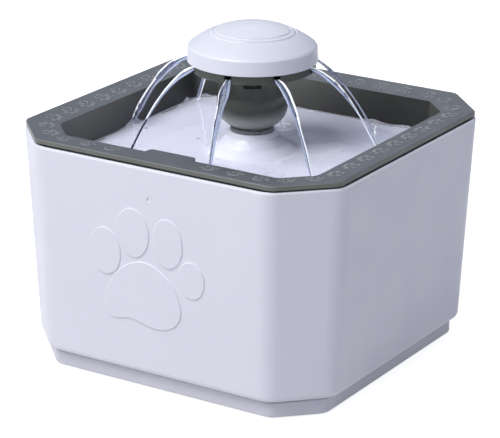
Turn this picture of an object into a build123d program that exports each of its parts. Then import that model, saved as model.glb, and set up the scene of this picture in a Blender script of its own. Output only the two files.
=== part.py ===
from build123d import *
import os
from math import atan2, cos, degrees, pi, radians, sin, tan

# Pet water fountain: a square tank with cut corners, a grey lid that holds a drinking well,
# and a small mushroom head in the middle that a pump in the tank feeds.
# Millimetres. Z is up, the origin is on the floor under the middle of the tank,
# and -Y is the front, where the paw ornament and the finger tab are.

os.makedirs("parts", exist_ok=True)

# ---- driving dimensions ---------------------------------------------------------------
LID_TOP = 123.5            # top of the lid's outer edge above the floor
FOOT_SHOW = 0.8            # how far the rubber feet hold the plinth off the floor

# tank: half widths are across the flats, legs are the legs of the 45 degree corner cuts
TANK_BASE_Z = 9.8
TANK_TOP_Z = 120.2
TANK_TOP_HALF = 95.0
TANK_BASE_HALF = 89.5
TANK_TOP_LEG = 27.2
TANK_BASE_LEG = 24.2
TANK_CORNER = 14.0
TANK_INNER_CORNER = 11.5
TANK_HEEL = 3.5            # rounding of the tank's bottom edge
TANK_WALL = 2.6
TANK_FLOOR = 3.0
LIP_WALL = 1.3             # the wall is this thin above the ledge
LIP_ROUND = 1.1
LEDGE_TOP_Z = 118.6
LEDGE_THICK = 2.0
LEDGE_HALF = 89.0

# plinth under the tank
PLINTH_HALF = 84.75
PLINTH_LEG = 20.1
PLINTH_WALL = 2.4
PLINTH_TOP_Z = 8.8
PLINTH_NECK_HALF = 82.0
PLINTH_PLATE_Z = 7.4
PLINTH_ROUND = 1.0
RIB_PITCH = 18.0
RIB_THICK = 1.6
RIB_CELLS = 9
RIB_SHORT = 1.2            # the ribs stop this far above the plinth's bottom edge
FOOT_AT = 62.0
FOOT_R = 7.0
FOOT_TALL = 2.6
FOOT_GAP = 0.1

# lid: rim, well wall and tray ledge
LID_HALF = 93.0
LID_LEG = 24.0
LID_CORNER = 6.0
LID_EDGE = 2.4
LID_ROUND = 0.7
RIM_DROP = 1.6             # the rim slopes down towards the well by this much
RIM_SLOPE_HALF = 91.8
WELL_TOP_HALF = 76.3
WELL_BASE_HALF = 75.2
WELL_LEG = 14.0
WELL_CORNER = 5.0
WELL_WALL = 2.0
TRAY_LEDGE_Z = 102.0       # top of the ledge that carries the tray
TRAY_LEDGE_HALF = 70.0
SKIRT_HALF = 88.2
SKIRT_WALL = 1.8
SKIRT_DEPTH = 8.0
TAB_X = (-14.1, 12.9)
TAB_REACH = 5.0
TAB_THICK = 2.2
TAB_ROOT = 0.7             # the tab runs into the well wall by this much

# drip tray
TRAY_HALF = 74.6
TRAY_THICK = 2.0
BOSS_TOP_Z = LID_TOP - 7.6
BOSS_BORE = 8.6
BOSS_TOP_R = 11.9
BOSS_MID_R = 17.6
BOSS_MID_Z = LID_TOP - 14.4
BOSS_BASE_R = 31.0
GUIDE_R = 10.2
GUIDE_BASE_Z = 87.0
DRAIN_RADII = (33.0, 66.0)
DRAIN_R = 1.3
TRAY_RIB_HALF = 55.9
TRAY_RIB_DEPTH = 4.0
TRAY_RIB_WALL = 1.6
EDGE_SLOT = (3.0, 16.0)
EDGE_SLOT_AT = 34.0
NOTCH_GAP = 1.0
NOTCH_DEEP = 4.1

# head: column, disc and cap, all round
SPIGOT_R = 8.3
SPIGOT_BORE = 7.35
SPIGOT_BASE_Z = 102.0
NECK_R = 10.6
NECK_Z = LID_TOP - 5.6
BOWL_R = 18.0
BOWL_Z = LID_TOP + 3.6     # where the bowl is widest
SIDE_R = 17.8
SIDE_Z = LID_TOP + 11.0
COLUMN_TOP_R = 17.4
COLUMN_WALL = 1.7
DISC_Z = LID_TOP + 24.9
DISC_R = 32.3
DISC_FLOOR = 1.6
CAP_RIM_Z = LID_TOP + 29.7
CAP_SHOULDER_Z = LID_TOP + 37.5
CAP_TOP_Z = LID_TOP + 48.9
CAP_R = 33.4
CAP_WALL = 1.7
CAP_RINGS = (19.4, 22.0)
OUTLETS = 8
HEAD_TWIST = 9.6           # how far the head is turned from the tank's own axes, degrees
OUTLET_WIDE = 4.0
OUTLET_TALL = 4.2
WINDOW_WIDE = 8.8
WINDOW_TALL = 2.2
WINDOW_Z = LID_TOP + 20.0

# filter holder and cartridge
HOLDER_HALF = 57.8
HOLDER_LEG = 12.0
HOLDER_WALL = 1.6
HOLDER_BASE_Z = 84.0
HOLDER_HOLE = 12.4
POUCH_HALF = 54.6
POUCH_TOP_Z = 97.4
POUCH_SKIN = 1.0

# pump: stands on suction cups in the middle of the tank floor, motor towards the back
TANK_FLOOR_Z = TANK_BASE_Z + TANK_FLOOR
CUP_TALL = 6.0
PUMP_Z = TANK_FLOOR_Z + CUP_TALL
PUMP_TALL = 36.0
PUMP_HALF_WIDE = 21.0
PUMP_FRONT_Y = -8.0
PUMP_BACK_Y = 36.0
ROTOR_Z = PUMP_Z + 14.6
VOLUTE_R = 13.2
VOLUTE_BACK_Y = 3.0
ROTOR_BORE = 8.2
ROTOR_TUBE = 9.9
ROTOR_END_Y = 27.0
STUB_R = 5.5
STUB_BORE = 3.8
STUB_TALL = 11.0
RISER_R = 7.0
RISER_TOP_Z = 110.0
STRAINER_FRONT_Y = -22.0
SLIDER_TRAVEL = 8.0
SHAFT_R = 1.0
IMPELLER_R = 11.2
BLADES = 6
MAGNET_R = 7.4

# lead and its grommet in the back wall
LEAD_R = 1.75
GROMMET_Z = 96.0
GROMMET_R = 5.0
GROMMET_FLANGE_R = 7.0
GROMMET_FLANGE = 0.8
GROMMET_LIP_R = 6.6
GROMMET_LIP = 1.3

# the wall leans out going up, by the same angle on all four faces
WALL_LEAN = degrees(atan2(TANK_TOP_HALF - TANK_BASE_HALF, TANK_TOP_Z - TANK_BASE_Z))
LEAN_SIN = sin(radians(WALL_LEAN))
LEAN_COS = cos(radians(WALL_LEAN))


# ---- shared shapes ----------------------------------------------------------------------
def cut_square(half, leg, corner):
    """A square of the given half width with its corners cut at 45 degrees and rounded."""
    inner = half - leg
    points = [(half, -inner), (half, inner), (inner, half), (-inner, half)]
    points += [(-half, inner), (-half, -inner), (-inner, -half), (inner, -half)]
    with BuildSketch(mode=Mode.PRIVATE) as outline:
        Polygon(*points, align=None)
        if corner > 0:
            fillet(outline.vertices(), corner)
    return outline.sketch


def inset_leg(leg, inset):
    """Leg of the cut corner after every side moves in by the same distance."""
    return leg - inset * (2 - 2 ** 0.5)


def tank_half(z):
    """Half width of the tank's outside at a height."""
    share = (z - TANK_BASE_Z) / (TANK_TOP_Z - TANK_BASE_Z)
    return TANK_BASE_HALF + share * (TANK_TOP_HALF - TANK_BASE_HALF)


def tank_leg(z):
    """Leg of the tank's cut corner at a height."""
    share = (z - TANK_BASE_Z) / (TANK_TOP_Z - TANK_BASE_Z)
    return TANK_BASE_LEG + share * (TANK_TOP_LEG - TANK_BASE_LEG)


def well_half(z):
    """Half width of the drinking well at a height."""
    share = (z - TRAY_LEDGE_Z) / (LID_TOP - TRAY_LEDGE_Z)
    return WELL_BASE_HALF + share * (WELL_TOP_HALF - WELL_BASE_HALF)


def lid_leg(half):
    """Leg of a cut corner that keeps an even distance to the tank's own at the top."""
    return inset_leg(TANK_TOP_LEG, TANK_TOP_HALF - half)


def finish(builder, name):
    """Name a finished piece and write its file."""
    builder.part.label = name
    export_step(builder.part, "parts/" + name + ".step")


# ---- tank -------------------------------------------------------------------------------
FRONT_FACE = Plane(
    origin=(0, -TANK_TOP_HALF, TANK_TOP_Z), x_dir=(1, 0, 0), z_dir=(0, -LEAN_COS, -LEAN_SIN)
)
BACK_FACE = Plane(
    origin=(0, tank_half(GROMMET_Z), GROMMET_Z), x_dir=(-1, 0, 0), z_dir=(0, LEAN_COS, -LEAN_SIN)
)
PAW_TOES = (
    # across, down the face, half width, half height
    (-27.3, 47.6, 9.4, 12.6),
    (-10.3, 35.0, 9.7, 13.0),
    (10.2, 37.0, 8.9, 13.0),
    (23.6, 53.7, 7.7, 9.8),
)
PAW_PAD = [
    (-28.8, -75.5), (-25.2, -64.0), (-15.5, -53.2), (-3.0, -49.4), (7.5, -54.0), (15.6, -65.0),
    (16.0, -76.5), (8.0, -83.4), (-4.0, -83.6), (-15.0, -81.6), (-25.0, -82.6),
]
PAW_HEIGHT = 0.55
PAW_ROOT = 1.0
PAW_ROUND = 0.5
DIMPLE_DOWN = 15.9
DIMPLE_R = 1.3
DIMPLE_DEEP = 0.5


def is_paw_top(face):
    """True for the flat tops of the paw ornament."""
    return abs(FRONT_FACE.to_local_coords(face.center()).Z - PAW_HEIGHT) < 0.05


with BuildPart() as tank:
    with BuildSketch(Plane.XY.offset(TANK_BASE_Z)):
        add(cut_square(TANK_BASE_HALF, TANK_BASE_LEG, TANK_CORNER))
    with BuildSketch(Plane.XY.offset(TANK_TOP_Z)):
        add(cut_square(TANK_TOP_HALF, TANK_TOP_LEG, TANK_CORNER))
    loft(ruled=True)
    fillet(tank.faces().sort_by(Axis.Z)[0].edges(), TANK_HEEL)
    # the paw stands proud of the front wall
    with BuildSketch(FRONT_FACE.offset(-PAW_ROOT)):
        for across, down, half_wide, half_tall in PAW_TOES:
            with Locations((across, -down)):
                Ellipse(half_wide, half_tall)
    extrude(amount=PAW_ROOT + PAW_HEIGHT)
    with BuildSketch(FRONT_FACE.offset(-PAW_ROOT)):
        with BuildLine():
            Spline(*PAW_PAD, periodic=True)
        make_face()
    extrude(amount=PAW_ROOT + PAW_HEIGHT)
    fillet(tank.faces().filter_by(is_paw_top).edges(), PAW_ROUND)
    with BuildSketch(FRONT_FACE.offset(-DIMPLE_DEEP)):
        with Locations((0, -DIMPLE_DOWN)):
            Circle(DIMPLE_R)
    extrude(amount=2 * DIMPLE_DEEP, mode=Mode.SUBTRACT)
    # inside
    for level in (TANK_FLOOR_Z, TANK_TOP_Z):
        inner_half = tank_half(level) - TANK_WALL
        inner_leg = inset_leg(tank_leg(level), TANK_WALL)
        with BuildSketch(Plane.XY.offset(level)):
            add(cut_square(inner_half, inner_leg, TANK_INNER_CORNER))
    loft(ruled=True, mode=Mode.SUBTRACT)
    # ledge that the lid stands on
    ledge_outer = TANK_TOP_HALF - LIP_WALL
    with BuildSketch(Plane.XY.offset(LEDGE_TOP_Z)):
        add(cut_square(ledge_outer, lid_leg(ledge_outer), TANK_CORNER - LIP_WALL))
        add(cut_square(LEDGE_HALF, lid_leg(LEDGE_HALF), 5), mode=Mode.SUBTRACT)
    extrude(amount=-LEDGE_THICK)
    fillet(tank.edges().filter_by_position(Axis.Z, TANK_TOP_Z - 0.01, TANK_TOP_Z + 0.01), LIP_ROUND)
    with BuildSketch(BACK_FACE.offset(-2 * TANK_WALL)):
        Circle(GROMMET_R)
    extrude(amount=4 * TANK_WALL, mode=Mode.SUBTRACT)
finish(tank, "tank")

# ---- plinth and feet ----------------------------------------------------------------------
with BuildPart() as base_plinth:
    with BuildSketch(Plane.XY.offset(FOOT_SHOW)):
        add(cut_square(PLINTH_HALF, PLINTH_LEG, 8))
    extrude(amount=PLINTH_TOP_Z - FOOT_SHOW)
    fillet(base_plinth.faces().sort_by(Axis.Z)[0].edges(), PLINTH_ROUND)
    fillet(base_plinth.faces().sort_by(Axis.Z)[-1].edges(), PLINTH_ROUND - 0.2)
    with BuildSketch(Plane.XY.offset(PLINTH_TOP_Z - 0.5)):
        add(cut_square(PLINTH_NECK_HALF, inset_leg(PLINTH_LEG, PLINTH_HALF - PLINTH_NECK_HALF), 7))
    extrude(amount=TANK_BASE_Z - PLINTH_TOP_Z + 0.5)
    with BuildSketch(Plane.XY.offset(FOOT_SHOW)):
        add(cut_square(PLINTH_HALF - PLINTH_WALL, inset_leg(PLINTH_LEG, PLINTH_WALL), 6))
    extrude(amount=PLINTH_PLATE_Z - FOOT_SHOW, mode=Mode.SUBTRACT)
    # a grid of ribs stiffens the plate, and posts hold the feet
    with BuildSketch(Plane.XY.offset(PLINTH_PLATE_Z + 0.4)):
        add(cut_square(PLINTH_HALF - 1, inset_leg(PLINTH_LEG, 1), 6))
        with GridLocations(RIB_PITCH, RIB_PITCH, RIB_CELLS, RIB_CELLS):
            Rectangle(RIB_PITCH - RIB_THICK, RIB_PITCH - RIB_THICK, mode=Mode.SUBTRACT)
        with GridLocations(2 * FOOT_AT, 2 * FOOT_AT, 2, 2):
            Circle(FOOT_R + 2)
    extrude(amount=-(PLINTH_PLATE_Z + 0.4 - FOOT_SHOW - RIB_SHORT))
    with BuildSketch(Plane.XY.offset(FOOT_TALL)):
        with GridLocations(2 * FOOT_AT, 2 * FOOT_AT, 2, 2):
            Circle(FOOT_R)
    extrude(amount=-FOOT_TALL, mode=Mode.SUBTRACT)
finish(base_plinth, "base_plinth")

with BuildPart() as rubber_feet:
    with BuildSketch():
        with GridLocations(2 * FOOT_AT, 2 * FOOT_AT, 2, 2):
            Circle(FOOT_R - FOOT_GAP)
    extrude(amount=FOOT_TALL)
    fillet(rubber_feet.edges().filter_by(GeomType.CIRCLE).group_by(Axis.Z)[0], 0.5)
finish(rubber_feet, "rubber_feet")

# ---- lid ----------------------------------------------------------------------------------
LID_UNDER_Z = LID_TOP - LID_EDGE
WELL_BASE_Z = TRAY_LEDGE_Z - 2.0

with BuildPart() as rim_frame:
    with BuildSketch(Plane.XY.offset(LID_UNDER_Z)):
        add(cut_square(LID_HALF, LID_LEG, LID_CORNER))
    extrude(amount=LID_EDGE)
    fillet(rim_frame.faces().sort_by(Axis.Z)[-1].edges(), LID_ROUND)
    # the part that stands on the tank's ledge
    with BuildSketch(Plane.XY.offset(LEDGE_TOP_Z)):
        add(cut_square(LID_HALF - 2, lid_leg(LID_HALF - 2), LID_CORNER - 1))
    extrude(amount=LID_UNDER_Z - LEDGE_TOP_Z)
    with BuildSketch(Plane.XY.offset(LEDGE_TOP_Z - SKIRT_DEPTH)):
        add(cut_square(SKIRT_HALF, lid_leg(SKIRT_HALF), 4))
    extrude(amount=SKIRT_DEPTH)
    skirt_inner = SKIRT_HALF - SKIRT_WALL
    with BuildSketch(Plane.XY.offset(LEDGE_TOP_Z - SKIRT_DEPTH)):
        add(cut_square(skirt_inner, lid_leg(skirt_inner), 3))
    extrude(amount=SKIRT_DEPTH + 1.4, mode=Mode.SUBTRACT)
    # well wall, tapered, down to the tray ledge
    with BuildSketch(Plane.XY.offset(WELL_BASE_Z)):
        add(cut_square(WELL_BASE_HALF + WELL_WALL, inset_leg(WELL_LEG, -WELL_WALL), WELL_CORNER + 1))
    with BuildSketch(Plane.XY.offset(LID_UNDER_Z)):
        add(cut_square(WELL_TOP_HALF + WELL_WALL, inset_leg(WELL_LEG, -WELL_WALL), WELL_CORNER + 1))
    loft(ruled=True)
    with BuildSketch(Plane.XY.offset(TRAY_LEDGE_Z)):
        add(cut_square(WELL_BASE_HALF, WELL_LEG, WELL_CORNER))
    with BuildSketch(Plane.XY.offset(LID_TOP + 1)):
        add(cut_square(well_half(LID_TOP + 1), WELL_LEG, WELL_CORNER))
    loft(ruled=True, mode=Mode.SUBTRACT)
    with BuildSketch(Plane.XY.offset(WELL_BASE_Z - 1)):
        add(cut_square(TRAY_LEDGE_HALF, inset_leg(WELL_LEG, WELL_BASE_HALF - TRAY_LEDGE_HALF), 4))
    extrude(amount=4, mode=Mode.SUBTRACT)
    # the rim's top falls gently towards the well
    with BuildSketch(Plane.XY.offset(LID_TOP - RIM_DROP)):
        add(cut_square(WELL_TOP_HALF, WELL_LEG, WELL_CORNER))
    with BuildSketch(Plane.XY.offset(LID_TOP)):
        add(cut_square(RIM_SLOPE_HALF, inset_leg(LID_LEG, LID_HALF - RIM_SLOPE_HALF), LID_CORNER))
    loft(ruled=True, mode=Mode.SUBTRACT)
    # finger tab
    tab_wide = TAB_X[1] - TAB_X[0]
    with BuildSketch(Plane.XY.offset(LID_TOP - RIM_DROP)):
        with Locations(((TAB_X[0] + TAB_X[1]) / 2, -WELL_TOP_HALF + TAB_REACH / 2 - TAB_ROOT)):
            RectangleRounded(tab_wide, TAB_REACH + 2 * TAB_ROOT, 1.8)
    extrude(amount=-TAB_THICK)
finish(rim_frame, "rim_frame")

# ---- drip tray ------------------------------------------------------------------------------
TRAY_TOP_Z = TRAY_LEDGE_Z + TRAY_THICK

with BuildPart() as drip_tray:
    with BuildSketch(Plane.XY.offset(TRAY_LEDGE_Z)):
        add(cut_square(TRAY_HALF, inset_leg(WELL_LEG, WELL_BASE_HALF - TRAY_HALF), WELL_CORNER))
    extrude(amount=TRAY_THICK)
    # boss: a cone with the head's socket in it, on a shallow mound
    with BuildSketch(Plane.XZ):
        with BuildLine():
            Polyline((0, BOSS_TOP_Z), (BOSS_TOP_R, BOSS_TOP_Z), (BOSS_MID_R, BOSS_MID_Z))
            Spline((BOSS_MID_R, BOSS_MID_Z), (BOSS_BASE_R, TRAY_TOP_Z), tangents=((1, -0.45), (1, 0)))
            Polyline(
                (BOSS_BASE_R, TRAY_TOP_Z), (BOSS_BASE_R, TRAY_LEDGE_Z + 0.5),
                (0, TRAY_LEDGE_Z + 0.5), (0, BOSS_TOP_Z),
            )
        make_face()
    revolve(axis=Axis.Z)
    # guide tube down through the cartridge, and the rib that the holder clips round
    with BuildSketch(Plane.XY.offset(GUIDE_BASE_Z)):
        Circle(GUIDE_R)
    extrude(amount=TRAY_TOP_Z - GUIDE_BASE_Z)
    with BuildSketch(Plane.XY.offset(TRAY_LEDGE_Z)):
        add(cut_square(TRAY_RIB_HALF, HOLDER_LEG - 1, 2))
        add(cut_square(TRAY_RIB_HALF - TRAY_RIB_WALL, HOLDER_LEG - 2, 1.5), mode=Mode.SUBTRACT)
    extrude(amount=-TRAY_RIB_DEPTH)
    with BuildSketch(Plane.XY.offset(GUIDE_BASE_Z)):
        Circle(BOSS_BORE)
    extrude(amount=BOSS_TOP_Z - GUIDE_BASE_Z, mode=Mode.SUBTRACT)
    # drains: two pairs of holes, and a slot in the middle of each quarter of the edge
    with BuildSketch(Plane.XY.offset(TRAY_LEDGE_Z)):
        with Locations(*[(side * r, 0) for side in (-1, 1) for r in DRAIN_RADII]):
            Circle(DRAIN_R)
        for turn in range(4):
            with PolarLocations(TRAY_HALF, 1, start_angle=90 * turn):
                with Locations((0, -EDGE_SLOT_AT), (0, EDGE_SLOT_AT)):
                    Rectangle(*EDGE_SLOT)
        # notch in the front edge, so that the tray lifts past the finger tab
        with Locations(((TAB_X[0] + TAB_X[1]) / 2, -TRAY_HALF)):
            Rectangle(TAB_X[1] - TAB_X[0] + 2 * NOTCH_GAP, 2 * NOTCH_DEEP)
    extrude(amount=TRAY_THICK, mode=Mode.SUBTRACT)
finish(drip_tray, "drip_tray")

# ---- filter holder and cartridge --------------------------------------------------------------
HOLDER_FLOOR = 1.6
SLOT_PITCH = 9.0
POUCH_BASE_Z = HOLDER_BASE_Z + HOLDER_FLOOR

with BuildPart() as filter_holder:
    with BuildSketch(Plane.XY.offset(HOLDER_BASE_Z)):
        add(cut_square(HOLDER_HALF, HOLDER_LEG, 3))
    extrude(amount=TRAY_LEDGE_Z - HOLDER_BASE_Z)
    with BuildSketch(Plane.XY.offset(POUCH_BASE_Z)):
        add(cut_square(HOLDER_HALF - HOLDER_WALL, inset_leg(HOLDER_LEG, HOLDER_WALL), 2))
    extrude(amount=TRAY_LEDGE_Z - POUCH_BASE_Z, mode=Mode.SUBTRACT)
    with BuildSketch(Plane.XY.offset(HOLDER_BASE_Z)):
        with GridLocations(SLOT_PITCH, 52, 11, 2):
            SlotOverall(38, 3.2, rotation=90)
        Circle(HOLDER_HOLE + 2.4, mode=Mode.SUBTRACT)
        Circle(HOLDER_HOLE)
    extrude(amount=HOLDER_FLOOR, mode=Mode.SUBTRACT)
finish(filter_holder, "filter_holder")

with BuildPart() as filter_pouch:
    with BuildSketch(Plane.XY.offset(POUCH_BASE_Z)):
        add(cut_square(POUCH_HALF, HOLDER_LEG - 2, 4))
        Circle(HOLDER_HOLE, mode=Mode.SUBTRACT)
    extrude(amount=POUCH_TOP_Z - POUCH_BASE_Z)
    with BuildSketch(Plane.XY.offset(POUCH_BASE_Z + POUCH_SKIN)):
        add(cut_square(POUCH_HALF - POUCH_SKIN - 1, HOLDER_LEG - 3, 3))
        Circle(HOLDER_HOLE + POUCH_SKIN + 1, mode=Mode.SUBTRACT)
    extrude(amount=POUCH_TOP_Z - POUCH_BASE_Z - 2 * POUCH_SKIN, mode=Mode.SUBTRACT)
finish(filter_pouch, "filter_pouch")

BED_SPLIT_Z = POUCH_BASE_Z + POUCH_SKIN + 5.4
beds = (
    ("resin_bed", POUCH_BASE_Z + POUCH_SKIN, BED_SPLIT_Z),
    ("carbon_bed", BED_SPLIT_Z, POUCH_TOP_Z - POUCH_SKIN),
)
for bed_name, bed_low, bed_high in beds:
    with BuildPart() as bed:
        with BuildSketch(Plane.XY.offset(bed_low)):
            add(cut_square(POUCH_HALF - POUCH_SKIN - 1.2, HOLDER_LEG - 3, 3))
            Circle(HOLDER_HOLE + POUCH_SKIN + 1.2, mode=Mode.SUBTRACT)
        extrude(amount=bed_high - bed_low)
    finish(bed, bed_name)

# ---- head ---------------------------------------------------------------------------------------
with BuildPart() as column:
    with BuildSketch(Plane.XZ):
        with BuildLine():
            Polyline((0, SPIGOT_BASE_Z), (SPIGOT_R, SPIGOT_BASE_Z), (SPIGOT_R, NECK_Z), (NECK_R, NECK_Z))
            Line((NECK_R, NECK_Z), (NECK_R, NECK_Z + 1.0))
            Spline(
                (NECK_R, NECK_Z + 1.0), (14.9, NECK_Z + 3.6), (BOWL_R, BOWL_Z), (SIDE_R, SIDE_Z),
                (COLUMN_TOP_R, DISC_Z),
                tangents=((1, 0.35), (-0.02, 1)),
            )
            Polyline((COLUMN_TOP_R, DISC_Z), (0, DISC_Z), (0, SPIGOT_BASE_Z))
        make_face()
    revolve(axis=Axis.Z)
    with BuildSketch(Plane.XZ):
        with BuildLine():
            Polyline((0, SPIGOT_BASE_Z), (SPIGOT_BORE, SPIGOT_BASE_Z), (SPIGOT_BORE, NECK_Z + 1.8))
            Spline(
                (SPIGOT_BORE, NECK_Z + 1.8), (BOWL_R - COLUMN_WALL - 1.5, LID_TOP + 1.0),
                (BOWL_R - COLUMN_WALL - 0.2, LID_TOP + 6.0), (COLUMN_TOP_R - COLUMN_WALL, WINDOW_Z - 3.0),
            )
            Polyline(
                (COLUMN_TOP_R - COLUMN_WALL, WINDOW_Z - 3.0), (COLUMN_TOP_R - COLUMN_WALL, DISC_Z),
                (0, DISC_Z), (0, SPIGOT_BASE_Z),
            )
        make_face()
    revolve(axis=Axis.Z, mode=Mode.SUBTRACT)
    # snap windows for the disc's collar
    for turn in range(4):
        window_plane = Plane.YZ.rotated((0, 0, HEAD_TWIST + 22.5 + 90 * turn))
        with BuildSketch(window_plane.offset(COLUMN_TOP_R - COLUMN_WALL - 0.9)):
            with Locations((0, WINDOW_Z)):
                Rectangle(WINDOW_WIDE, WINDOW_TALL)
        extrude(amount=6, mode=Mode.SUBTRACT)
finish(column, "column")

with BuildPart() as spout_gasket:
    with BuildSketch(Plane.XY.offset(BOSS_TOP_Z)):
        Circle(NECK_R + 0.6)
        Circle(SPIGOT_R + 0.1, mode=Mode.SUBTRACT)
    extrude(amount=NECK_Z - BOSS_TOP_Z)
    fillet(spout_gasket.edges().sort_by(SortBy.LENGTH)[-2:], 0.4)
finish(spout_gasket, "spout_gasket")

COLLAR_R = COLUMN_TOP_R - COLUMN_WALL - 0.2
COLLAR_WALL = 1.4
DISC_WALL = 2.5
UPSTAND_R = CAP_R - CAP_WALL - 0.5
UPSTAND_TALL = 3.4

with BuildPart() as spray_disc:
    with BuildSketch(Plane.XZ):
        with BuildLine():
            Polyline(
                (COLLAR_R - COLLAR_WALL, WINDOW_Z - 2.0), (COLLAR_R, WINDOW_Z - 2.0), (COLLAR_R, DISC_Z),
                (DISC_R - 0.9, DISC_Z), (DISC_R, DISC_Z + 0.9), (DISC_R, CAP_RIM_Z),
                (UPSTAND_R, CAP_RIM_Z), (UPSTAND_R, CAP_RIM_Z + UPSTAND_TALL),
                (DISC_R - DISC_WALL, CAP_RIM_Z + UPSTAND_TALL), (DISC_R - DISC_WALL, DISC_Z + DISC_FLOOR),
                (COLLAR_R - COLLAR_WALL, DISC_Z + DISC_FLOOR), (COLLAR_R - COLLAR_WALL, WINDOW_Z - 2.0),
            )
        make_face()
    revolve(axis=Axis.Z)
    # outlets: notches through the rim, from the cap down into the edge of the floor
    for turn in range(OUTLETS):
        outlet_plane = Plane.YZ.rotated((0, 0, HEAD_TWIST + 360 / OUTLETS * turn))
        with BuildSketch(outlet_plane.offset(DISC_R - DISC_WALL - 1)):
            with Locations((0, CAP_RIM_Z - OUTLET_TALL / 2)):
                Rectangle(OUTLET_WIDE, OUTLET_TALL)
        extrude(amount=DISC_WALL + 2, mode=Mode.SUBTRACT)
finish(spray_disc, "spray_disc")

DOME_EDGE_R = CAP_R - 1.0
DOME_EDGE_Z = CAP_SHOULDER_Z + 0.4
DOME_RISE = CAP_TOP_Z - DOME_EDGE_Z
DOME_R = (DOME_EDGE_R ** 2 + DOME_RISE ** 2) / (2 * DOME_RISE)
RING_GROOVE_R = 0.55


def dome_z(r, inset=0.0):
    """Height of the cap's dome, or of its inside, at a distance from the axis."""
    return CAP_TOP_Z - DOME_R + ((DOME_R - inset) ** 2 - r ** 2) ** 0.5


with BuildPart() as cap:
    cap_inner = CAP_R - CAP_WALL
    with BuildSketch(Plane.XZ):
        with BuildLine():
            Polyline(
                (cap_inner, CAP_RIM_Z), (CAP_R, CAP_RIM_Z),
                (CAP_R - 0.35, CAP_SHOULDER_Z - 0.5), (DOME_EDGE_R, DOME_EDGE_Z),
            )
            half_way = DOME_EDGE_R / 2
            ThreePointArc((DOME_EDGE_R, DOME_EDGE_Z), (half_way, dome_z(half_way)), (0, CAP_TOP_Z))
            Line((0, CAP_TOP_Z), (0, CAP_TOP_Z - CAP_WALL))
            inner_edge = (cap_inner, dome_z(cap_inner, CAP_WALL))
            ThreePointArc((0, CAP_TOP_Z - CAP_WALL), (half_way, dome_z(half_way, CAP_WALL)), inner_edge)
            Line(inner_edge, (cap_inner, CAP_RIM_Z))
        make_face()
    revolve(axis=Axis.Z)
    # two fine rings in the dome
    with BuildSketch(Plane.XZ):
        for ring in CAP_RINGS:
            with Locations((ring, dome_z(ring))):
                Circle(RING_GROOVE_R)
    revolve(axis=Axis.Z, mode=Mode.SUBTRACT)
finish(cap, "cap")

# ---- pump ---------------------------------------------------------------------------------------
PUMP_TOP_Z = PUMP_Z + PUMP_TALL
PUMP_MID_Z = PUMP_Z + PUMP_TALL / 2
CAVITY_FRONT_Y = 7.0
CAVITY_WALL = 1.6
CUP_X = 15.0
CUP_FRONT_Y = -2.0
CUP_BACK_Y = 29.0
CUP_STEM_R = 2.5
CUP_STEM_DEEP = 2.5
CORE_HALF = 15.6
CORE_LEG = 5.0
CORE_Y = (10.0, 22.0)
BRIDGE_LOW_Z = ROTOR_Z + ROTOR_TUBE + 2.7
BRIDGE_HIGH_Z = BRIDGE_LOW_Z + 4.0
COIL_HALF = 9.4
COIL_THICK = 2.0
COVER_RECESS = 1.8
EYE_R = 5.0
BUSH_R = 2.6
BUSH_LONG = 2.4

cup_places = [(x, y) for x in (-CUP_X, CUP_X) for y in (CUP_FRONT_Y, CUP_BACK_Y)]

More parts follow.
